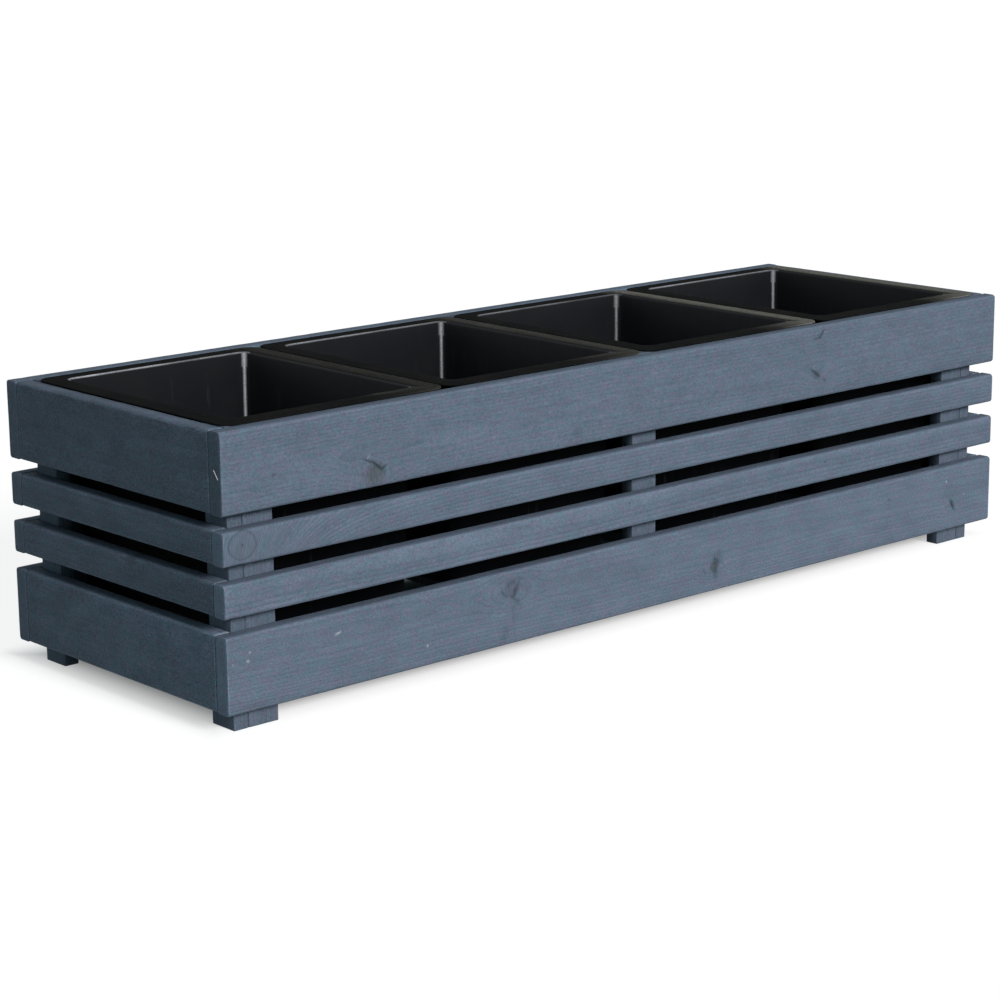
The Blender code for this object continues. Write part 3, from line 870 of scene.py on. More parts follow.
@dataclass(frozen=True)
class PlasticFinish:
    """Black moulded plastic: a dark wall with painted highlights along its corners and inner edge, or a dusty
    rim with a painted pale sheen.
    """

    name: str
    base: Colour = (0.0072, 0.0086, 0.0106)
    # Pale colour of the painted highlights; the scuffs take a little of it.
    crease: Colour = (0.80, 0.82, 0.88)
    dust: Colour = (0.034, 0.032, 0.027)
    # Colour of the painted pale sheen on the rims.
    soil: Colour = (0.225, 0.215, 0.190)
    dust_amount: float = 0.06
    roughness: float = 0.50
    specular: float = 0.30
    relief: float = 0.00025

    PATCH_EDGE = (0.25, 0.60)
    SCUFF_SHARE = 0.02
    FLECK_DENSITY = 45.0
    FLECK_SIZE = 0.0005
    FLECK_SHARE = 0.05
    FLECK_DUST = 0.25

    def material(self) -> bpy.types.Material:
        """Return the material, made on the first call."""
        made = bpy.data.materials.get(self.name)
        if made is not None:
            return made
        graph, shader = new_material(self.name, self.specular)
        place = graph.attribute("grain")
        skin = MouldedSkin().place(graph, Place=place)
        dust = DustFilm().place(graph, Place=place, Amount=self.dust_amount)["Dust"]
        patches = graph.ramp(skin["Grain"], *self.PATCH_EDGE)
        # Painted highlight: the mesh's highlight amount, broken up by the scuffs and the skin's grain.
        crease = graph.product([
            graph.amount("crease"), graph.swing(skin["Scuff"], -0.4), graph.swing(patches, 0.5),
        ])
        fleck = Flecks().place(
            graph, Place=place, Density=self.FLECK_DENSITY, Size=self.FLECK_SIZE, Share=self.FLECK_SHARE,
        )["Fleck"]
        scuffed = graph.math("MULTIPLY", skin["Scuff"], self.SCUFF_SHARE)
        colour = graph.mix(scuffed, opaque(self.base), opaque(self.crease))
        colour = graph.mix(dust, colour, opaque(self.dust))
        # Painted highlight along the corners and the rim's inner edge.
        colour = graph.mix(crease, colour, opaque(self.crease))
        # Painted pale sheen on the rims, mostly on their right sides.
        colour = graph.mix(graph.math("MULTIPLY", graph.amount("soil"), patches), colour, opaque(self.soil))
        colour = graph.mix(graph.math("MULTIPLY", fleck, self.FLECK_DUST), colour, opaque(self.dust))
        graph.feed(shader.inputs["Base Color"], colour)
        rough = graph.total([(skin["Wave"], 0.10), (skin["Scuff"], 0.12), (dust, 0.30), (fleck, 0.2)])
        graph.feed(shader.inputs["Roughness"], graph.math("ADD", rough, self.roughness))
        height = graph.total([(skin["Grain"], 0.25), (skin["Wave"], 2.5), (skin["Scuff"], -0.2), (dust, 0.2)])
        graph.feed(shader.inputs["Normal"], graph.bump(height, self.relief))
        return bpy.data.materials[self.name]


@dataclass(frozen=True)
class ZincFinish:
    """Bright zinc plate with dull patches and fine scratches."""

    name: str = "zinc_plate"
    bright: Colour = (0.64, 0.65, 0.67)
    dull: Colour = (0.34, 0.35, 0.36)
    roughness: float = 0.30

    DUST_AMOUNT = 0.35
    SCUFF_SHARE = 0.6
    RELIEF = 0.00004

    def material(self) -> bpy.types.Material:
        """Return the material, made on the first call."""
        made = bpy.data.materials.get(self.name)
        if made is not None:
            return made
        graph, shader = new_material(self.name, 0.5, metallic=1.0)
        place = graph.add("ShaderNodeTexCoord").outputs["Object"]
        skin = MouldedSkin().place(graph, Place=place)
        dust = DustFilm().place(graph, Place=place, Amount=self.DUST_AMOUNT)["Dust"]
        patch = graph.math("MAXIMUM", dust, graph.math("MULTIPLY", skin["Scuff"], self.SCUFF_SHARE))
        graph.feed(shader.inputs["Base Color"], graph.mix(patch, opaque(self.bright), opaque(self.dull)))
        rough = graph.total([(skin["Grain"], 0.10), (patch, 0.25)])
        graph.feed(shader.inputs["Roughness"], graph.math("ADD", rough, self.roughness))
        graph.feed(shader.inputs["Normal"], graph.bump(skin["Grain"], self.RELIEF))
        return bpy.data.materials[self.name]


BOARD_STAIN = WoodFinish(Slot.BOARD, cool=(0.104, 0.160, 0.207), warm=(0.136, 0.146, 0.206))
SLAT_STAIN = replace(BOARD_STAIN, late_depth=0.14, band_depth=0.05, ring_width=0.0044)
END_BOARD_STAIN = replace(BOARD_STAIN, tone_depth=0.26, cloud_depth=0.36, grit_depth=0.90)
END_SLAT_STAIN = replace(SLAT_STAIN, tone_depth=0.26, cloud_depth=0.36, grit_depth=0.90)
BATTEN_STAIN = WoodFinish(
    Slot.BATTEN, cool=(0.094, 0.136, 0.176), warm=(0.116, 0.128, 0.177), streak_depth=0.14,
    wear_reach=0.0018, ring_width=0.0026,
)
FLOOR_STAIN = WoodFinish(
    Slot.FLOOR, cool=(0.092, 0.130, 0.166), warm=(0.112, 0.124, 0.168), roughness=0.78,
    streak_depth=0.18, wear_reach=0.0018, ring_width=0.0026,
)
LINER_WALL = PlasticFinish("black_liner_wall")
# The rim's heavier brownish dust is partly dust and partly a painted brownish reflection.
LINER_RIM = PlasticFinish(
    "black_liner_rim", base=(0.0048, 0.0052, 0.0056), dust_amount=0.25, roughness=0.85, specular=0.02,
)
# The outside is far darker than the same plastic inside: painted shade for the dark gaps between the boards.
LINER_SHADED_OUTSIDE = PlasticFinish(
    "black_liner_outside", base=(0.0013, 0.0017, 0.0024), dust_amount=0.03, specular=0.05,
)
ZINC = ZincFinish()


# Meshes

Loop = list[bmesh.types.BMVert]
Line = tuple[float, float]
CAP_RINGS = (0.72, 0.4)
CONE_SEGMENTS = 28


def seed_of(name: str) -> int:
    """Return a number that belongs to a name, the same in every run."""
    return zlib.crc32(name.encode())


def steps(length: float, step: float) -> int:
    """Return how many parts of about a step a length has, at least one."""
    return max(1, round(length / step))


def smooth_step(share: float) -> float:
    """Return a share kept between 0 and 1, eased at both ends."""
    share = min(1.0, max(0.0, share))
    return share * share * (3.0 - 2.0 * share)


def line_at(line: Line, place: float) -> float:
    """Return a straight line's height at a place, from its slope and its height at 0."""
    slope, start = line
    return slope * place + start


def bridge(bm: bmesh.types.BMesh, first: Loop, second: Loop, material: int = 0) -> None:
    """Join two loops of equally many points with a band of faces.

    Args:
        bm: the mesh in the making.
        first: one loop.
        second: the next one.
        material: the faces' place in the mesh's materials.
    """
    for index, vert in enumerate(first):
        after = (index + 1) % len(first)
        bm.faces.new((vert, first[after], second[after], second[index])).material_index = material


def cap(bm: bmesh.types.BMesh, loop: Loop, material: int = 0) -> None:
    """Close an end with bands of faces that grow smaller.

    Args:
        bm: the mesh in the making.
        loop: the open end.
        material: the faces' place in the mesh's materials.
    """
    for share in CAP_RINGS:
        middle = sum((vert.co for vert in loop), Vector()) / len(loop)
        inner = [bm.verts.new(middle + (vert.co - middle) * share) for vert in loop]
        bridge(bm, loop, inner, material)
        loop = inner
    bm.faces.new(loop).material_index = material


def shaped(bm: bmesh.types.BMesh, name: str) -> bpy.types.Mesh:
    """Return what was made as a mesh of its own, and free the workings."""
    mesh = bpy.data.meshes.new(name)
    bm.to_mesh(mesh)
    bm.free()
    return mesh


def shown(name: str, data: bpy.types.ID) -> bpy.types.Object:
    """Return a new object in the scene that shows a mesh, a lamp or a camera."""
    thing = bpy.data.objects.new(name, data)
    bpy.context.scene.collection.objects.link(thing)
    return thing


def write_values(mesh: bpy.types.Mesh, name: str, values: Sequence[float]) -> None:
    """Let a mesh carry a number or a vector for each of its points.

    Args:
        mesh: the mesh.
        name: the name that its materials read.
        values: the numbers, or the vectors' components in a row.
    """
    if len(values) == len(mesh.vertices):
        mesh.attributes.new(name, "FLOAT", "POINT").data.foreach_set("value", values)
    else:
        mesh.attributes.new(name, "FLOAT_VECTOR", "POINT").data.foreach_set("vector", values)


def settle(piece: bpy.types.Object, body: str, slot: Slot, *nodes: str) -> None:
    """Let a piece ride on a body in the place of some nodes.

    Args:
        piece: the piece.
        body: the body that it rides on.
        slot: the slot of its finish; not used.
        *nodes: the nodes that it stands for.
    """
    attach(piece, body)
    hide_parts(*nodes)
    LOG.info("%s stands for %s", piece.name, ", ".join(nodes))


# Timber


@dataclass(frozen=True)
class Lie:
    """How a length of timber lies: the direction of its grain and that of its face."""

    along: Vector
    out: Vector

    @property
    def across(self) -> Vector:
        """The direction across the grain, on the face."""
        return self.out.cross(self.along)


@dataclass
class Timber:
    """One board, batten or slat, with rounded and slightly worn edges and sawn ends."""

    node: str
    lie: Lie
    finish: WoodFinish
    edge_radius: float = 0.004
    knots: tuple[Knot, ...] = ()
    marks: tuple[Mark, ...] = ()
    sweep: tuple[float, float] = (0.0, 1.0)
    holes: tuple[str, ...] = ()
    splinter: float = 0.0
    tones: tuple[float, float] = (1.0, 1.0)
    end_tone: float = 1.0
    arc_steps: int = 5
    face_step: float = 0.012
    length_step: float = 0.011
    end_round: float = 0.0009
    end_rings: tuple[float, float] = (0.0025, 0.006)
    arris_fade: float = 0.6
    wave: float = 0.00022
    wear: float = 0.0007
    chip_start: float = 0.12
    chip_share: float = 0.9
    dent_share: float = 0.8
    splinter_depth: float = 0.0016
    saw_drift: float = 0.00018
    saw_ripple: float = 90.0
    sharp_degrees: float = 38.0
    pith_across: tuple[float, float] = (-0.3, 1.3)
    pith_below: tuple[float, float] = (0.012, 0.045)
    most_lean: float = 0.012
    log_spacing: float = 0.13
    size: Vector = field(init=False)
    corner: Vector = field(init=False)
    turn: Matrix = field(init=False)

    SEED_SPAN = (89, 53)
    LOG_COUNT = 97
    WAVE_CELLS = (3.5, 22.0)
    CHIP_CELLS = (55.0, 60.0)
    DENT_CELLS = (9.0, 30.0)
    DENT_LAYER = 7.0

    def __post_init__(self) -> None:
        """Take the timber's size and place from its node."""
        low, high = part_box(self.node)
        middle = (low + high) / 2
        extent = high - low
        axes = (self.lie.along, self.lie.across, self.lie.out)
        self.size = Vector([abs(extent.dot(axis)) for axis in axes])
        self.turn = Matrix(axes).transposed()
        self.corner = middle - self.turn @ (self.size / 2)

    def place(self, along: float, across: float, out: float) -> Vector:
        """Return the world place of a local one, measured from the timber's corner."""
        return self.corner + self.turn @ Vector((along, across, out))

    def section(self) -> list[tuple[Vector, Vector, float]]:
        """Return the section's ring.

        Returns:
            For each point its place across and out from the middle, its normal, and
            how much it belongs to an arris.
        """
        half_width, half_depth = self.size.y / 2, self.size.z / 2
        radius = self.edge_radius
        ring: list[tuple[Vector, Vector, float]] = []
        for quarter, (x_sign, y_sign) in enumerate(((1, 1), (-1, 1), (-1, -1), (1, -1))):
            centre = Vector((x_sign * (half_width - radius), y_sign * (half_depth - radius)))
            for index in range(self.arc_steps + 1):
                share = index / self.arc_steps
                angle = math.radians(90) * (quarter + share)
                normal = Vector((math.cos(angle), math.sin(angle)))
                arris = 1.0 - abs(2.0 * share - 1.0) * self.arris_fade
                ring.append((centre + radius * normal, normal, arris))
            run = 2 * (half_width if quarter % 2 == 0 else half_depth) - 2 * radius
            count = steps(run, self.face_step)
            way = Vector((-normal.y, normal.x))
            start = ring[-1][0]
            for index in range(1, count):
                ring.append((start + way * (run * index / count), normal.copy(), 0.0))
        return ring

    def stations(self) -> list[tuple[float, float]]:
        """Return the places of the section along the timber, with how far each is drawn in."""
        end = self.end_round
        near = [(end * (1 - math.cos(a)), end * (1 - math.sin(a))) for a in (0.0, math.pi / 4, math.pi / 2)]
        near += [(end + extra, 0.0) for extra in self.end_rings]
        last = near[-1][0]
        count = steps(self.size.x - 2 * last, self.length_step)
        middle = [(last + (self.size.x - 2 * last) * index / count, 0.0) for index in range(1, count)]
        return near + middle + [(self.size.x - along, inset) for along, inset in reversed(near)]

    def worn_depth(self, along: float, point: Vector, arris: float, seed: Vector) -> float:
        """Return how far a point of the surface lies below the nominal one.

        Args:
            along: its place along the timber.
            point: its place in the section.
            arris: how much it belongs to an arris.
            seed: where the noise of this timber starts.

        Returns:
            The depth in metres.
        """
        forth, aside = self.WAVE_CELLS
        slow = noise.noise(seed + Vector((along * forth, point.x * aside, point.y * aside)))
        depth = self.wave * (0.5 + 0.5 * slow)
        if arris:
            forth, aside = self.CHIP_CELLS
            chips = noise.noise(seed + Vector((along * forth, point.x * aside, point.y * aside)))
            forth, aside = self.DENT_CELLS
            long_dents = noise.noise(seed + Vector((along * forth, point.x * aside, self.DENT_LAYER)))
            chipped = max(0.0, chips - self.chip_start) * self.chip_share
            depth += arris * self.wear * (chipped + max(0.0, long_dents) * self.dent_share)
            if self.splinter:
                near_end = max(0.0, 1.0 - along / self.splinter)
                depth += arris * near_end * self.splinter_depth * abs(chips)
        return depth

    def mesh(self) -> bpy.types.Mesh:
        """Return the timber's mesh in world places."""
        ring = self.section()
        seed = Vector((*(seed_of(self.node) % span for span in self.SEED_SPAN), 0.0))
        half = Vector((self.size.y / 2, self.size.z / 2))
        bm = bmesh.new()
        loops = []
        for along, inset in self.stations():
            loop = []
            for point, normal, arris in ring:
                depth = inset + self.worn_depth(along, point, arris, seed)
                spot = point - normal * depth
                ripple = noise.noise(seed + Vector((spot.x * self.saw_ripple, spot.y * self.saw_ripple, 3.0)))
                drift = self.saw_drift * (0.5 + 0.5 * ripple)
                shift = drift if along < self.size.x / 2 else -drift
                reach = along + (shift if inset else 0.0)
                loop.append(bm.verts.new(self.place(reach, half.x + spot.x, half.y + spot.y)))
            loops.append(loop)
        for first, second in zip(loops, loops[1:]):
            bridge(bm, first, second)
        for loop in (loops[0], loops[-1]):
            cap(bm, loop)
        bmesh.ops.recalc_face_normals(bm, faces=bm.faces)
        return shaped(bm, self.node + "_timber")

    def carry(self, mesh: bpy.types.Mesh) -> None:
        """Write what the finish reads: places along the grain, from the pith and from the faces."""
        random = Random(seed_of(self.node))
        height = self.size.y
        offset = self.log_spacing * (seed_of(self.node) % self.LOG_COUNT)
        pith = (random.uniform(*self.pith_across) * height, -random.uniform(*self.pith_below))
        lean = random.uniform(-self.most_lean, self.most_lean)
        back = self.turn.transposed()
        grain, growth, inset, tone = [], [], [], []
        for vert in mesh.vertices:
            spot = back @ (vert.co - self.corner)
            along, across, out = spot
            depth = self.size.z - out
            grain += (along, across, depth)
            rise = self.sweep[0] * (1.0 - math.exp(-along / self.sweep[1]))
            growth += (along + offset, across - pith[0] - lean * along - rise, pith[1] - depth)
            from_end = min(along, self.size.x - along)
            inset += (from_end, min(across, height - across), min(out, depth))
            plain = self.tones[0] + (self.tones[1] - self.tones[0]) * along / self.size.x
            tone.append(plain * (self.end_tone if from_end < self.end_round / 2 else 1.0))
        for name, values in (("grain", grain), ("growth", growth), ("inset", inset), ("tone", tone)):
            write_values(mesh, name, values)

    def build(self) -> bpy.types.Object:
        """Build the timber in the place of its node.

        Returns:
            The piece, dressed and riding on its body.
        """
        piece = shown(self.node + "_timber", self.mesh())
        if self.holes:
            self.drill(piece)
        piece.data.materials.clear()
        piece.data.materials.append(self.finish.material(self.knots, self.marks))
        piece.data.shade_smooth()
        piece.data.set_sharp_from_angle(angle=math.radians(self.sharp_degrees))
        self.carry(piece.data)
        settle(piece, "frame", self.finish.slot, self.node)
        return piece

    def drill(self, piece: bpy.types.Object) -> None:
        """Sink a cone for the head of each screw that is driven in here.

        Args:
            piece: the timber's object, whose mesh is replaced by the drilled one.
        """
        cutters = []
        for screw in self.holes:
            cutter = countersink(screw)
            modifier = piece.modifiers.new(screw, "BOOLEAN")
            modifier.operation = "DIFFERENCE"
            modifier.solver = "EXACT"
            modifier.object = cutter
            cutters.append(cutter)
        bpy.context.view_layer.update()
        graph = bpy.context.evaluated_depsgraph_get()
        drilled = bpy.data.meshes.new_from_object(piece.evaluated_get(graph))
        drilled.name = piece.data.name + "_drilled"
        piece.modifiers.clear()
        piece.data = drilled
        for cutter in cutters:
            bpy.data.objects.remove(cutter, do_unlink=True)


def countersink(
    screw: str, land: float = 0.0044, shank: float = 0.0023, depth: float = 0.0029, proud: float = 0.0008
) -> bpy.types.Object:
    """Return a cone round the head of a screw, which faces the middle of the planter.

    Args:
        screw: the screw's node.
        land: the cone's radius at the face of the wood.
        shank: its radius at its bottom.
        depth: its depth below the face.
        proud: how far it stands out from the face.

    Returns:
        The cone's object.
    """
    low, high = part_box(screw)
    extent = high - low
    axis = 0 if extent.x > extent.y else 1
    middle = (low + high) / 2
    inwards = 1.0 if middle[axis] > 0 else -1.0
    head = middle.copy()
    head[axis] = low[axis] if inwards > 0 else high[axis]
    bm = bmesh.new()
    flare = land + (land - shank) * proud / depth
    bmesh.ops.create_cone(
        bm, cap_ends=True, segments=CONE_SEGMENTS, radius1=flare, radius2=shank, depth=depth + proud,
    )
    way = Vector((0.0, 0.0, 0.0))
    way[axis] = inwards
    spin = UP.rotation_difference(way).to_matrix().to_4x4()
    shift = Matrix.Translation(head + way * (depth - proud) / 2)
    bmesh.ops.transform(bm, matrix=shift @ spin, verts=bm.verts)
    return shown(screw + "_cone", shaped(bm, screw + "_cone"))


# Sub-assemblies


@dataclass
class BoardPanel:
    """The four boards of one side of the box."""

    side: Side
    knots: Mapping[str, tuple[Knot, ...]] = field(default_factory=dict)
    marks: Mapping[str, tuple[Mark, ...]] = field(default_factory=dict)
    sweeps: Mapping[str, tuple[float, float]] = field(default_factory=dict)
    splinters: Mapping[str, float] = field(default_factory=dict)
    tones: Mapping[str, tuple[float, float]] = field(default_factory=dict)
    rows: tuple[str, ...] = ("bottom_board", "lower_slat", "upper_slat", "top_board")
    end_tones: tuple[float, ...] = (1.80, 1.65, 1.60, 1.0)
    end_round: float = 0.0009
    board_stain: WoodFinish = BOARD_STAIN
    slat_stain: WoodFinish = SLAT_STAIN

    def build(self) -> None:
        """Build the boards, each with its own knots."""
        for row, end_tone in zip(self.rows, self.end_tones):
            stain = self.slat_stain if "slat" in row else self.board_stain
            Timber(
                f"{self.side.title}_{row}", Lie(self.side.along, self.side.out), stain,
                knots=self.knots.get(row, ()), marks=self.marks.get(row, ()),
                sweep=self.sweeps.get(row, (0.0, 1.0)), splinter=self.splinters.get(row, 0.0),
                tones=self.tones.get(row, (1.0, 1.0)), end_tone=end_tone, end_round=self.end_round,
            ).build()


@dataclass
class CornerPost:
    """The two battens of one corner, whose lower ends are a foot."""

    end: Side
    side: Side
    edge_radius: float = 0.0015

    @property
    def corner(self) -> str:
        """The corner's words in the names of its nodes."""
        return f"{self.side.title}_{self.end.title}"

    def build(self) -> None:
        """Build the batten behind the end boards and the one behind the long boards."""
        screws = tuple(f"{self.corner}_corner_screw_{level}" for level in ("upper", "lower"))
        for kind, facing, holes in (("end", self.end, ()), ("side", self.side, screws)):
            Timber(
                f"{self.corner}_{kind}_batten", Lie(UP, facing.out), BATTEN_STAIN,
                edge_radius=self.edge_radius, holes=holes, arc_steps=3,
            ).build()


@dataclass
class CentreBattens:
    """The battens in the middle of the long sides."""

    edge_radius: float = 0.0015

    def build(self) -> None:
        """Build one batten behind the front boards and one behind the back ones."""
        for side in (Side.FRONT, Side.BACK):
            Timber(
                f"{side.title}_centre_batten", Lie(UP, side.out), BATTEN_STAIN,
                edge_radius=self.edge_radius, arc_steps=3,
            ).build()


@dataclass
class LinerFloor:
    """The slats that the liners stand on, and the two ledgers under them."""

    slat_count: int = 8
    ledger_screws: int = 3
    edge_radius: float = 0.0015

    def build(self) -> None:
        """Build the ledgers and the slats across them."""
        for side in (Side.FRONT, Side.BACK):
            screws = tuple(f"{side.title}_ledger_screw_{n}" for n in range(1, self.ledger_screws + 1))
            Timber(
                f"{side.title}_floor_ledger", Lie(side.along, -side.out), FLOOR_STAIN,
                edge_radius=self.edge_radius, holes=screws, arc_steps=3,
            ).build()
        for number in range(1, self.slat_count + 1):
            Timber(
                f"floor_slat_{number}", Lie(Side.RIGHT.along, UP), FLOOR_STAIN,
                edge_radius=self.edge_radius, arc_steps=3,
            ).build()


@dataclass
class Liner:
    """One open plastic tray with a flat rim, slightly bowed, with a stacking shoulder."""

    number: int
    wall: float = 0.002
    draft: float = 0.008
    side_inset: float = 0.0238
    front_inset: float = 0.0248
    rear_inset: float = 0.0188
    corner_radius: float = 0.012
    floor_fillet: float = 0.008
    rim_thickness: float = 0.0013
    rim_corner_radius: float = 0.018
    rim_round: float = 0.0004
    rim_fillet: float = 0.0025
    below_fillet: float = 0.0012
    below_shoulder: float = 0.003
    shoulder_drop: float = 0.017
    shoulder_step: float = 0.0005
    shoulder_reach: float = 0.0025
    shoulder_rings: tuple[float, ...] = (-0.0013, -0.0005, 0.0005, 0.0013, 0.006)
    outer_shoulder: tuple[float, ...] = (0.0013, 0.0, -0.0013)
    wall_rings: int = 9
    rim_rings: tuple[float, ...] = (0.75, 0.45, 0.18)
    outer_rings: tuple[float, ...] = (0.19, 0.16, 0.13, 0.10, 0.07, 0.04)
    fillet_steps: int = 6
    corner_steps: int = 12
    side_steps: int = 10
    bow: float = 0.0009
    sag: float = 0.00028
    # How strong the painted pale sheen is on each liner's rim, and its line along the front inner edge.
    soil: tuple[float, ...] = (0.26, 0.44, 1.35, 1.55)
    soil_line: float = 0.60
    # Painted highlight: reach and strength down the corners below and above the shoulder, and each liner's
    # strength at its corners and back inner edge.
    crease_low: tuple[float, float] = (0.28, 1.0)
    crease_high: tuple[float, float] = (0.50, 0.80)
    corner_white: tuple[float, ...] = (0.37, 0.31, 0.25, 0.29)
    lip_white: tuple[float, ...] = (0.80, 0.52, 0.32, 0.44)
    sharp_degrees: float = 40.0

    SEED_STEP = 17.0
    APART = 0.7
    LEAST_RADIUS = 0.0008
    BOW_DRIFT = 1.5
    BOW_LEAST = 0.6
    SAG_CELLS = 14.0
    # Where the painted sheen lies on the rim.
    SOIL_RIGHT = (1.6, -0.6)
    SOIL_FRONT = (-0.8, 1.6)
    SOIL_THIN = 0.35
    SOIL_THICK = (0.004, 0.010)
    SOIL_TOP = (0.0035, 0.0015)
    SOIL_CELLS = 60.0
    SOIL_LIE = (0.3, 0.78)
    LINE_WIDTH = 0.003
    LINE_LEFT = 0.01
    # Where the painted highlight on the rim's inner edge lies, and how patchy it is.
    LIP_CELLS = 23.0
    LIP_WORN = (0.45, 0.55)
    LIP_BACK = (-0.20, 0.52)
    LIP_FADE = (4.0, 3.7)
    LIP_SIDE = 0.05

    def __post_init__(self) -> None:
        """Take the liner's size and place from its node."""
        self.node = f"liner_{self.number}"
        low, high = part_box(self.node)
        self.centre = Vector(((low.x + high.x) / 2, (low.y + high.y) / 2, 0.0))
        self.half = Vector(((high.x - low.x) / 2, (high.y - low.y) / 2))
        self.base = low.z
        self.top = high.z
        self.seed = Vector((self.number * self.SEED_STEP, 5.0, 0.0))

    def outline(self, half_x: float, half_y: float, radius: float) -> list[tuple[Vector, Vector, float]]:
        """Return a rectangle with round corners, anticlockwise from the right front.

        Args:
            half_x: half its length.
            half_y: half its depth.
            radius: the radius of its corners.

        Returns:
            For each point its place, its normal, and how close it is to a corner's middle.
        """
        points = []
        for quarter, (x_sign, y_sign) in enumerate(((1, -1), (1, 1), (-1, 1), (-1, -1))):
            centre = Vector((x_sign * (half_x - radius), y_sign * (half_y - radius)))
            for index in range(self.corner_steps + 1):
                share = index / self.corner_steps
                angle = math.radians(90) * (quarter - 1 + share)
                normal = Vector((math.cos(angle), math.sin(angle)))
                points.append((centre + radius * normal, normal, 1.0 - abs(2.0 * share - 1.0)))
            run = 2 * (half_y if quarter % 2 == 0 else half_x) - 2 * radius
            way = Vector((-normal.y, normal.x))
            start = points[-1][0]
            for index in range(1, self.side_steps):
                points.append((start + way * (run * index / self.side_steps), normal.copy(), 0.0))
        return points

    def wall_ring(self, offset: float, z: float) -> list[tuple[Vector, float]]:
        """Return a ring of the tapered wall.

        Args:
            offset: how far it is set in from the wall's outer face.
            z: its height.

        Returns:
            For each point its place and how much painted highlight it carries.
        """
        under = self.top - self.rim_thickness
        lean = self.draft * max(0.0, under - z) / (under - self.base)
        shoulder = self.top - self.shoulder_drop
        step = self.shoulder_step * smooth_step((shoulder - z) / self.shoulder_reach + 0.5)
        inset = offset + lean
        radius = max(self.corner_radius - offset, self.LEAST_RADIUS)
        share = min(1.0, max(0.0, (z - self.base) / (under - self.base)))
        half_y = self.half.y - (self.front_inset + self.rear_inset) / 2
        centre = self.centre + Vector((0.0, (self.front_inset - self.rear_inset) / 2, 0.0))
        # Painted highlight down the corner fillets, wider and brighter above the shoulder.
        reach, white = self.crease_high if z > shoulder else self.crease_low
        white *= self.corner_white[self.number - 1]
        half_x = self.half.x - self.side_inset
        ring = []
        for point, normal, corner in self.outline(half_x - inset, half_y - inset, radius):
            along = point.x / self.half.x if abs(normal.y) > 0.5 else point.y / self.half.y
            swell = math.sin(math.pi * share) * max(0.0, 1.0 - along * along) * (0.0 if corner else 1.0)
            face = self.seed + Vector((round(normal.x) * 3.0, round(normal.y) * 3.0, share * self.BOW_DRIFT))
            bow = self.bow * swell * (self.BOW_LEAST + noise.noise(face))
            spot = point - normal * (bow + step * corner)
            crease = max(0.0, 1.0 - (1.0 - corner) / reach) * white
            ring.append((centre + Vector((spot.x, spot.y, z)), crease))
        return ring

    def soil_at(self, spot: Vector) -> float:
        """Return the painted pale sheen on the rim at a place: most along its right side, with a line along
        the front inner edge.
        """
        away = spot - self.centre
        right, front = away.x / self.half.x, away.y / self.half.y
        towards = smooth_step(line_at(self.SOIL_RIGHT, right)) * smooth_step(line_at(self.SOIL_FRONT, front))
        beside = away.x - self.half.x + self.side_inset
        ahead = away.y + self.half.y - self.front_inset
        if ahead > 0.0:
            thin, thick = self.SOIL_THICK
            cover = self.SOIL_THIN + (1.0 - self.SOIL_THIN) * smooth_step((beside - thin) / (thick - thin))
            towards *= cover if beside > 0.0 else 0.0
        patch = noise.noise(self.seed + spot * self.SOIL_CELLS)
        edge = abs(ahead) + self.LINE_LEFT * smooth_step(1.0 - 2.0 * right)
        line = self.soil_line * smooth_step(1.5 - edge / self.LINE_WIDTH) * (0.5 + 0.5 * patch)
        lie = line_at(self.SOIL_LIE, patch)
        below, above = self.SOIL_TOP
        high = smooth_step((spot.z - self.top + below) / (below - above))
        return max(self.soil[self.number - 1] * towards * lie, line if beside < 0.0 else 0.0) * high

    def edge_crease(self, spot: Vector) -> float:
        """Return the painted highlight on the rim's inner edge at a place: most along the back, patchy."""
        away = spot - self.centre
        right, front = away.x / self.half.x, away.y / self.half.y
        worn = line_at(self.LIP_WORN, noise.noise(self.seed + spot * self.LIP_CELLS))
        if front > abs(right):
            white = line_at(self.LIP_BACK, right) * self.lip_white[self.number - 1]
            return white * worn * smooth_step(line_at(self.LIP_FADE, right))
        return self.LIP_SIDE * worn if right < 0.0 else 0.0

    def rim_ring(self, offset: float, z: float, sag: bool = False) -> list[tuple[Vector, float]]:
        """Return a ring of the rim.

        Args:
            offset: how far it is set in from the rim's outer edge.
            z: its height.
            sag: whether the surface dips slightly here and there.

        Returns:
            For each point its place and how much painted highlight it carries.
        """
        radius = max(self.rim_corner_radius - offset, self.LEAST_RADIUS)
        ring = []
        for point, _, _ in self.outline(self.half.x - offset, self.half.y - offset, radius):
            spot = self.centre + Vector((point.x, point.y, z))
            if sag:
                spot.z -= self.sag * (0.5 + 0.5 * noise.noise(self.seed + spot * self.SAG_CELLS))
            ring.append((spot, 0.0))
        return ring

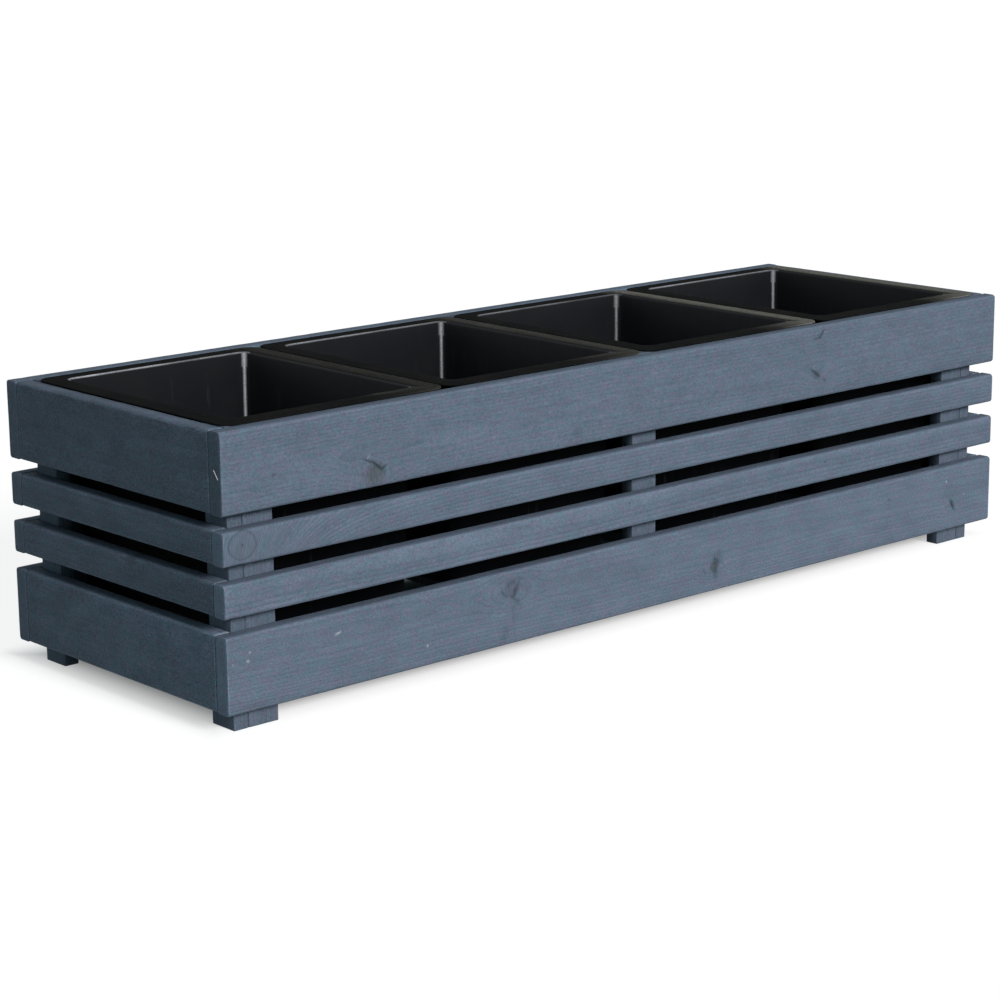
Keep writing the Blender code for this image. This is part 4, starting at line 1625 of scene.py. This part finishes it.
    def rings(self) -> list[tuple[list[tuple[Vector, float]], Skin]]:
        """Return the rings from the middle of the floor over the rim to the underside.

        Returns:
            Each ring, and the skin of the faces that lead to it.
        """
        floor = self.base + self.wall
        turn = [math.radians(90) * step / self.fillet_steps for step in range(self.fillet_steps + 1)]
        rings = []
        for angle in turn:
            offset = self.wall + self.floor_fillet * (1 - math.sin(angle))
            z = floor + self.floor_fillet * (1 - math.cos(angle))
            rings.append((self.wall_ring(offset, z), Skin.WALL))
        shoulder = self.top - self.shoulder_drop
        low, high = floor + self.floor_fillet, shoulder - self.below_shoulder
        heights = [low + (high - low) * step / self.wall_rings for step in range(1, self.wall_rings + 1)]
        heights += [shoulder + rise for rise in self.shoulder_rings]
        heights.append(self.top - self.rim_fillet - self.below_fillet)
        rings += [(self.wall_ring(self.wall, z), Skin.WALL) for z in heights]
        for step, angle in enumerate(turn):
            offset = self.wall - self.rim_fillet * (1 - math.cos(angle))
            ring = self.wall_ring(offset, self.top - self.rim_fillet * (1 - math.sin(angle)))
            # Over the rim fillet the corners' painted highlight fades out and the edge's painted highlight
            # comes in.
            share = math.sin(2 * angle) ** 3
            left = 1 - step / self.fillet_steps
            ring = [(spot, max(share * self.edge_crease(spot), crease * left)) for spot, crease in ring]
            rings.append((ring, Skin.RIM if step > 4 else Skin.WALL))
        reach = self.rear_inset - self.rim_fillet
        for share in self.rim_rings:
            rings.append((self.rim_ring(reach * share, self.top, sag=True), Skin.RIM))
        for angle in turn[::2]:
            offset = self.rim_round * (1 - math.sin(angle))
            rings.append((self.rim_ring(offset, self.top - self.rim_round * (1 - math.cos(angle))), Skin.RIM))
        under = self.top - self.rim_thickness
        rings.append((self.rim_ring(0.0, under + self.rim_round / 2), Skin.RIM))
        rings.append((self.rim_ring(self.rim_round / 2, under), Skin.RIM))
        outside = [(0.0, under)]
        outside += [(0.0, shoulder + rise) for rise in self.outer_shoulder]
        outside += [(0.0, self.base + rise) for rise in self.outer_rings]
        for angle in reversed(turn):
            offset = self.floor_fillet * (1 - math.sin(angle))
            outside.append((offset, self.base + self.floor_fillet * (1 - math.cos(angle))))
        for offset, z in outside:
            rings.append(([(spot, 0.0) for spot, _ in self.wall_ring(offset, z)], Skin.OUTSIDE))
        return rings

    def build(self) -> bpy.types.Object:
        """Build the liner in the place of its node.

        Returns:
            The piece, dressed and riding on its own body.
        """
        bm = bmesh.new()
        highlight_layer = bm.verts.layers.float.new("crease")
        loops, skins = [], []
        for ring, skin in self.rings():
            loop = []
            for spot, crease in ring:
                vert = bm.verts.new(spot)
                vert[highlight_layer] = crease
                loop.append(vert)
            loops.append(loop)
            skins.append(skin)
        for first, second, skin in zip(loops, loops[1:], skins[1:]):
            bridge(bm, first, second, skin.value)
        for loop, skin in ((loops[0], Skin.WALL), (loops[-1], Skin.OUTSIDE)):
            cap(bm, loop, skin.value)
        bmesh.ops.recalc_face_normals(bm, faces=bm.faces)
        mesh = shaped(bm, self.node + "_shell")
        mesh.shade_smooth()
        mesh.set_sharp_from_angle(angle=math.radians(self.sharp_degrees))
        for finish in (LINER_WALL, LINER_RIM, LINER_SHADED_OUTSIDE):
            mesh.materials.append(finish.material())
        apart = Vector((self.APART * self.number, 0.0, 0.0))
        write_values(mesh, "grain", [value for vert in mesh.vertices for value in vert.co + apart])
        write_values(mesh, "soil", [self.soil_at(vert.co) for vert in mesh.vertices])
        piece = shown(self.node + "_shell", mesh)
        settle(piece, self.node, Slot.LINER, self.node)
        return piece


@dataclass
class Fasteners:
    """The screws and the wire staple, which keep the meshes of their nodes."""

    words: tuple[str, ...] = ("screw", "staple")

    def dress(self) -> None:
        """Give each fastener its zinc plate."""
        for name, node in sorted(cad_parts.items()):
            if any(word in name for word in self.words):
                node.data.materials.clear()
                node.data.materials.append(ZINC.material())
                LOG.info("%s keeps its mesh", name)


# Studio


@dataclass
class SunLamp:
    """A broad, even light from one direction."""

    name: str
    towards: tuple[float, float, float]
    level: float
    spread: float
    colour: Colour

    def build(self) -> None:
        """Hang the lamp, which shines but doesn't glare.

        Its level is the brightness that it gives to a white face turned to it.
        """
        lamp = bpy.data.lights.new(self.name, "SUN")
        lamp.energy = self.level * math.pi
        lamp.angle = math.radians(self.spread)
        lamp.color = self.colour
        thing = shown(self.name, lamp)
        thing.visible_glossy = False
        thing.rotation_euler = Vector(self.towards).to_track_quat("Z", "Y").to_euler()


@dataclass
class Studio:
    """A pale floor, a white horizon and soft light."""

    floor_half: float = 60.0
    floor_white: float = 0.90
    # The floor's dull colour: for the light it throws back, and to the eye as painted shade under the
    # planter.
    floor_bounce: Colour = (0.20, 0.22, 0.22)
    floor_glow: float = 0.70
    glow_level: float = 1.25
    # Past the planter's outline: where the floor's glow fades out, and where the painted shade under the
    # planter ends; the shift below moves both towards the back.
    glow_reach: tuple[float, float] = (-0.08, 0.03)
    shade_reach: tuple[float, float] = (-0.08, -0.03)
    lit_shift: float = 0.03
    room: Colour = (0.29, 0.41, 0.42)
    sky: Colour = (0.0, 0.005, 0.008)
    ceiling: Colour = (0.50, 0.53, 0.58)
    horizon: tuple[float, float] = (0.19, 0.26)
    room_edge: tuple[float, float] = (0.50, 0.62)

    def build(self) -> None:
        """Build the floor, the world and the one lamp."""
        self.build_floor()
        self.build_world()
        SunLamp(
            "key", towards=(0.0, -0.90, 0.43), level=1.0, spread=16.0, colour=(1.0, 0.965, 0.955),
        ).build()

    def build_floor(self) -> None:
        """Lay the floor: white to the eye and in reflections, duller where it throws light back, and dull to
        the eye under the planter as painted shade.
        """
        _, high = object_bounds()
        bm = bmesh.new()
        bmesh.ops.create_grid(bm, x_segments=2, y_segments=2, size=self.floor_half)
        floor = shown("studio_floor", shaped(bm, "studio_floor"))
        material = bpy.data.materials.new("studio_floor")
        graph = empty_graph(material)
        seen = looked_at(graph)
        x, y, _ = graph.split(graph.add("ShaderNodeTexCoord").outputs["Object"])
        y = graph.math("SUBTRACT", y, self.lit_shift)
        past_x = graph.math("SUBTRACT", graph.math("ABSOLUTE", x), high.x)
        past_y = graph.math("SUBTRACT", graph.math("ABSOLUTE", y), high.y)
        past = graph.math("MAXIMUM", past_x, past_y)
        # Under the planter, set a little towards the back, the eye sees the floor's dull colour: painted
        # shade; the glow fades out there too.
        open_floor = graph.ramp(past, *self.glow_reach)
        outside = graph.ramp(past, *self.shade_reach)
        matt = graph.add("ShaderNodeBsdfDiffuse")
        white = opaque((self.floor_white,) * 3)
        pale = graph.math("MULTIPLY", seen, outside)
        graph.feed(matt.inputs["Color"], graph.mix(pale, opaque(self.floor_bounce), white))
        glow = graph.add("ShaderNodeEmission")
        graph.feed(glow.inputs["Strength"], self.glow_level)
        blend = graph.add("ShaderNodeMixShader")
        graph.feed(blend.inputs[0], graph.product([seen, open_floor, self.floor_glow]))
        graph.feed(blend.inputs[1], matt.outputs[0])
        graph.feed(blend.inputs[2], glow.outputs[0])
        graph.feed(graph.add("ShaderNodeOutputMaterial").inputs["Surface"], blend.outputs[0])
        floor.data.materials.append(material)
        floor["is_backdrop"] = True

    def build_world(self) -> None:
        """Light the room dimly from above, with a white band along the horizon."""
        world = bpy.data.worlds.new("studio")
        graph = empty_graph(world)
        _, _, height = graph.split(graph.add("ShaderNodeTexCoord").outputs["Generated"])
        seen = looked_at(graph)
        looks = graph.mix(graph.ramp(height, *self.horizon), opaque((1.0, 1.0, 1.0)), opaque(self.ceiling))
        lights = graph.mix(graph.ramp(height, *self.room_edge), opaque(self.room), opaque(self.sky))
        background = graph.add("ShaderNodeBackground")
        graph.feed(background.inputs["Color"], graph.mix(seen, lights, looks))
        graph.feed(graph.add("ShaderNodeOutputWorld").inputs["Surface"], background.outputs[0])
        bpy.context.scene.world = world
        bpy.context.scene.view_settings.view_transform = "Standard"


@dataclass
class PhotographCamera:
    """The camera at the photograph's viewing angle."""

    place: tuple[float, float, float] = (-2.09583, -2.29422, 0.85219)
    azimuth: float = 41.5310
    elevation: float = 13.3415
    roll: float = -0.6048
    lens: float = 97.026
    sensor: float = 36.0
    farthest: float = 200.0

    def build(self) -> None:
        """Set the camera up and make it the scene's."""
        azimuth, elevation, roll = (math.radians(a) for a in (self.azimuth, self.elevation, self.roll))
        level_part = math.cos(elevation)
        ahead = Vector((
            math.sin(azimuth) * level_part, math.cos(azimuth) * level_part, -math.sin(elevation),
        ))
        right = Vector((math.cos(azimuth), -math.sin(azimuth), 0.0))
        above = right.cross(ahead)
        level = Matrix((right, above, -ahead)).transposed()
        data = bpy.data.cameras.new("photograph")
        data.lens = self.lens
        data.sensor_fit = "HORIZONTAL"
        data.sensor_width = self.sensor
        data.clip_end = self.farthest
        camera = shown("photograph", data)
        turned = level @ Matrix.Rotation(roll, 3, "Z")
        camera.matrix_world = Matrix.Translation(self.place) @ turned.to_4x4()
        bpy.context.scene.camera = camera


FRONT_KNOTS: dict[str, tuple[Knot, ...]] = {
    "upper_slat": (
        Knot(23.4 * MM, 20.4 * MM, 14.8 * MM, stretch=1.17, pull=0.5, heart=0.02, rim=0.30, rings=0.05,
             halo=0.0),
    ),
    "top_board": (
        Knot(194 * MM, 14.5 * MM, 11 * MM, stretch=1.1, pull=0.9, heart=0.13, rim=0.03, rings=0.02, halo=0.04,
             blur=0.45),
        Knot(866 * MM, 28 * MM, 6 * MM, pull=0.9, heart=0.07, rim=0.05, rings=0.02, halo=0.10),
    ),
    "bottom_board": (
        Knot(379 * MM, 62 * MM, 8.5 * MM, stretch=1.1, pull=0.9, heart=0.03, rim=0.10, rings=0.05, halo=0.13),
        Knot(694 * MM, 29 * MM, 6 * MM, pull=0.9, heart=0.14, rim=0.08, rings=0.03, halo=0.20),
        Knot(1125 * MM, 33 * MM, 4 * MM, pull=0.9, heart=0.04, rim=0.04, rings=0.0, halo=0.05),
    ),
}
FRONT_MARKS: dict[str, tuple[Mark, ...]] = {
    "top_board": (
        Mark((178.8, 31.7), (190.6, 26.5), 1.8, 0.48),
        Mark((190.6, 26.5), (201.8, 18.2), 2.4, 0.62),
        Mark((201.8, 18.2), (208.0, 21.7), 1.9, 0.43),
        Mark((182.9, 32.5), (186.9, 34.8), 1.6, 0.30, MarkKind.PAINT),
        Mark((178.7, 48.8), (180.3, 42.3), 4.8, 0.14),
        Mark((861.2, 71.1), (871.0, 72.0), 2.0, 0.41),
        Mark((871.0, 72.0), (878.2, 80.9), 2.3, 0.50),
        Mark((856.6, 35.2), (872.2, 24.6), 2.6, 0.58),
        Mark((879.8, 19.4), (881.9, 19.1), 2.2, 0.36),
        Mark((859.6, 36.4), (863.0, 38.6), 1.6, 0.22, MarkKind.PAINT),
        Mark((868.2, 43.4), (960.0, 43.6), 1.3, 0.14),
        Mark((510.0, 22.5), (513.0, 22.1), 2.6, 0.19),
        Mark((63.3, 33.8), (65.7, 33.4), 1.9, 0.29),
        Mark((473.7, 16.6), (482.7, 15.3), 7.2, 0.14),
    ),
    "lower_slat": (
        Mark((556.1, 28.0), (557.7, 27.7), 1.4, 0.45),
        Mark((882.0, 24.6), (885.6, 24.1), 2.0, 0.29),
        Mark((1118.1, 21.2), (1120.1, 20.9), 1.8, 0.29),
    ),
    "bottom_board": (
        Mark((385.2, 62.1), (380.8, 52.8), 4.4, 0.30),
        Mark((379.3, 53.1), (390.9, 44.1), 4.2, 0.23),
        Mark((364.9, 61.4), (372.0, 53.9), 1.9, 0.30),
        Mark((370.8, 69.3), (385.3, 71.0), 2.7, 0.23),
        Mark((391.2, 71.1), (383.7, 59.0), 3.2, 0.27),
        Mark((382.1, 42.5), (381.7, 8.7), 5.2, 0.11),
        Mark((371.6, 17.5), (365.6, 6.3), 7.4, 0.19),
        Mark((694.6, 39.8), (701.4, 33.2), 4.2, 0.49),
        Mark((700.4, 45.9), (707.2, 37.5), 4.2, 0.19),
        Mark((694.7, 31.4), (697.4, 16.5), 4.7, 0.32),
        Mark((675.6, 31.3), (679.0, 22.3), 1.9, 0.19),
        Mark((1122.6, 37.6), (1129.2, 25.6), 3.2, 0.62),
        Mark((1121.0, 32.7), (1112.4, 27.8), 1.5, 0.23),
        Mark((1112.8, 63.4), (1114.2, 63.2), 1.6, 0.60, MarkKind.PAINT),
        Mark((1147.6, 41.9), (1149.2, 41.7), 1.6, 0.45, MarkKind.PAINT),
        Mark((136.8, 59.4), (143.6, 61.4), 1.4, 0.75, MarkKind.PAINT),
        Mark((258.7, 22.8), (259.9, 22.5), 1.7, 0.75, MarkKind.PAINT),
        Mark((24.1, 54.4), (26.5, 54.2), 1.9, 0.70, MarkKind.PAINT),
        Mark((27.6, 62.3), (28.6, 63.1), 1.3, 0.60, MarkKind.PAINT),
        Mark((6.2, 54.3), (7.5, 54.0), 1.3, 0.50, MarkKind.PAINT),
        Mark((1001.5, 58.2), (1005.3, 57.5), 1.9, 0.30),
    ),
}
FRONT_SWEEPS: dict[str, tuple[float, float]] = {"upper_slat": (0.21, 0.061)}
FRONT_SPLINTERS: dict[str, float] = {"lower_slat": 0.03}
FRONT_TONES: dict[str, tuple[float, float]] = {
    "upper_slat": (1.05, 1.05), "lower_slat": (1.09, 1.05), "bottom_board": (1.03, 1.06),
}
LEFT_KNOTS: dict[str, tuple[Knot, ...]] = {
    "top_board": (Knot(252.3 * MM, 43.3 * MM, 5.0 * MM, heart=0.0, rim=0.10, rings=0.02, halo=0.0),),
    "lower_slat": (Knot(205.0 * MM, 35.0 * MM, 6.0 * MM, heart=0.06, rim=0.16, halo=0.10, blur=0.3),),
    "bottom_board": (Knot(61.0 * MM, 42.0 * MM, 5.0 * MM, heart=0.0, rim=0.07, rings=0.02, halo=0.04),),
}
LEFT_MARKS: dict[str, tuple[Mark, ...]] = {
    "top_board": (
        Mark((247.0, 45.5), (251.5, 49.0), 2.0, 0.34),
        Mark((251.5, 49.0), (257.5, 45.5), 2.0, 0.28),
        Mark((243.0, 41.0), (262.0, 39.5), 8.0, 0.055, MarkKind.PAINT),
        Mark((262.0, 49.0), (268.0, 36.0), 3.0, 0.07, MarkKind.PAINT),
        Mark((146.0, 68.0), (149.0, 60.0), 5.0, 0.05, MarkKind.PAINT),
        Mark((22.0, 50.0), (78.0, 52.0), 14.0, 0.07),
        Mark((34.0, 66.0), (110.0, 72.0), 12.0, 0.05),
        Mark((330.0, 30.0), (346.0, 8.0), 9.0, 0.06),
    ),
    "upper_slat": (
        Mark((140.0, 3.5), (152.0, 2.5), 4.0, 0.09, MarkKind.PAINT),
        Mark((222.0, 7.0), (230.0, 5.0), 5.0, 0.06, MarkKind.PAINT),
        Mark((30.0, 22.0), (90.0, 20.0), 8.0, 0.06),
    ),
    "lower_slat": (
        Mark((178.0, 31.0), (199.0, 29.0), 2.2, 0.10, MarkKind.PAINT),
        Mark((186.0, 34.5), (196.0, 33.0), 1.8, 0.10, MarkKind.PAINT),
        Mark((345.0, 21.0), (347.0, 18.0), 2.5, 0.12, MarkKind.PAINT),
    ),
    "bottom_board": (
        Mark((76.0, 30.0), (132.0, 78.0), 13.0, 0.060, MarkKind.PAINT),
        Mark((160.0, 24.0), (245.0, 32.0), 16.0, 0.045, MarkKind.PAINT),
        Mark((60.0, 78.0), (118.0, 74.0), 12.0, 0.14),
        Mark((20.0, 60.0), (70.0, 52.0), 16.0, 0.06),
        Mark((252.0, 12.0), (256.0, 66.0), 11.0, 0.07),
        Mark((347.0, 81.0), (351.0, 79.0), 3.0, 0.25, MarkKind.PAINT),
        Mark((262.0, 30.0), (268.0, 27.0), 5.0, 0.06, MarkKind.PAINT),
    ),
}
LEFT_TONES: dict[str, tuple[float, float]] = {"top_board": (0.84, 1.06), "bottom_board": (1.0, 1.38)}
RIGHT_KNOTS: dict[str, tuple[Knot, ...]] = {
    "bottom_board": (Knot(118 * MM, 48 * MM, 7 * MM, heart=0.16, rim=0.16, halo=0.12),),
    "upper_slat": (Knot(262 * MM, 15 * MM, 5 * MM, heart=0.16, rim=0.20, halo=0.10),),
}
BACK_KNOTS: dict[str, tuple[Knot, ...]] = {
    "top_board": (
        Knot(312 * MM, 52 * MM, 9 * MM, stretch=1.2, heart=0.16, rim=0.14, halo=0.14),
        Knot(948 * MM, 24 * MM, 5 * MM, heart=0.20, rim=0.20, halo=0.10),
    ),
    "lower_slat": (Knot(655 * MM, 17 * MM, 6 * MM, heart=0.16, rim=0.20, halo=0.10),),
    "bottom_board": (
        Knot(176 * MM, 33 * MM, 6 * MM, heart=0.18, rim=0.20, halo=0.12),
        Knot(804 * MM, 58 * MM, 8 * MM, stretch=1.2, heart=0.14, rim=0.12, halo=0.16),
    ),
}
BACK_END_TONES = (1.15, 1.15, 1.15, 1.0)
SHORT_END_TONES = (1.0, 1.0, 1.0, 1.0)
SHORT_END_ROUND = 0.0003
LINER_COUNT = 4


def main() -> None:
    """Build the planter's parts in order, then the studio."""
    logging.basicConfig(level=logging.INFO, format="%(name)s: %(message)s")
    PhotographCamera().build()
    BoardPanel(Side.FRONT, FRONT_KNOTS, FRONT_MARKS, FRONT_SWEEPS, FRONT_SPLINTERS, FRONT_TONES).build()
    BoardPanel(Side.BACK, BACK_KNOTS, end_tones=BACK_END_TONES).build()
    for side, knots, marks, tones in (
        (Side.LEFT, LEFT_KNOTS, LEFT_MARKS, LEFT_TONES), (Side.RIGHT, RIGHT_KNOTS, {}, {}),
    ):
        BoardPanel(
            side, knots, marks, tones=tones, end_tones=SHORT_END_TONES, end_round=SHORT_END_ROUND,
            board_stain=END_BOARD_STAIN, slat_stain=END_SLAT_STAIN,
        ).build()
    for side in (Side.FRONT, Side.BACK):
        for end in (Side.LEFT, Side.RIGHT):
            CornerPost(end, side).build()
    CentreBattens().build()
    LinerFloor().build()
    for number in range(1, LINER_COUNT + 1):
        Liner(number).build()
    Fasteners().dress()
    Studio().build()


if __name__ == "__main__":
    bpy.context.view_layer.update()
    main()
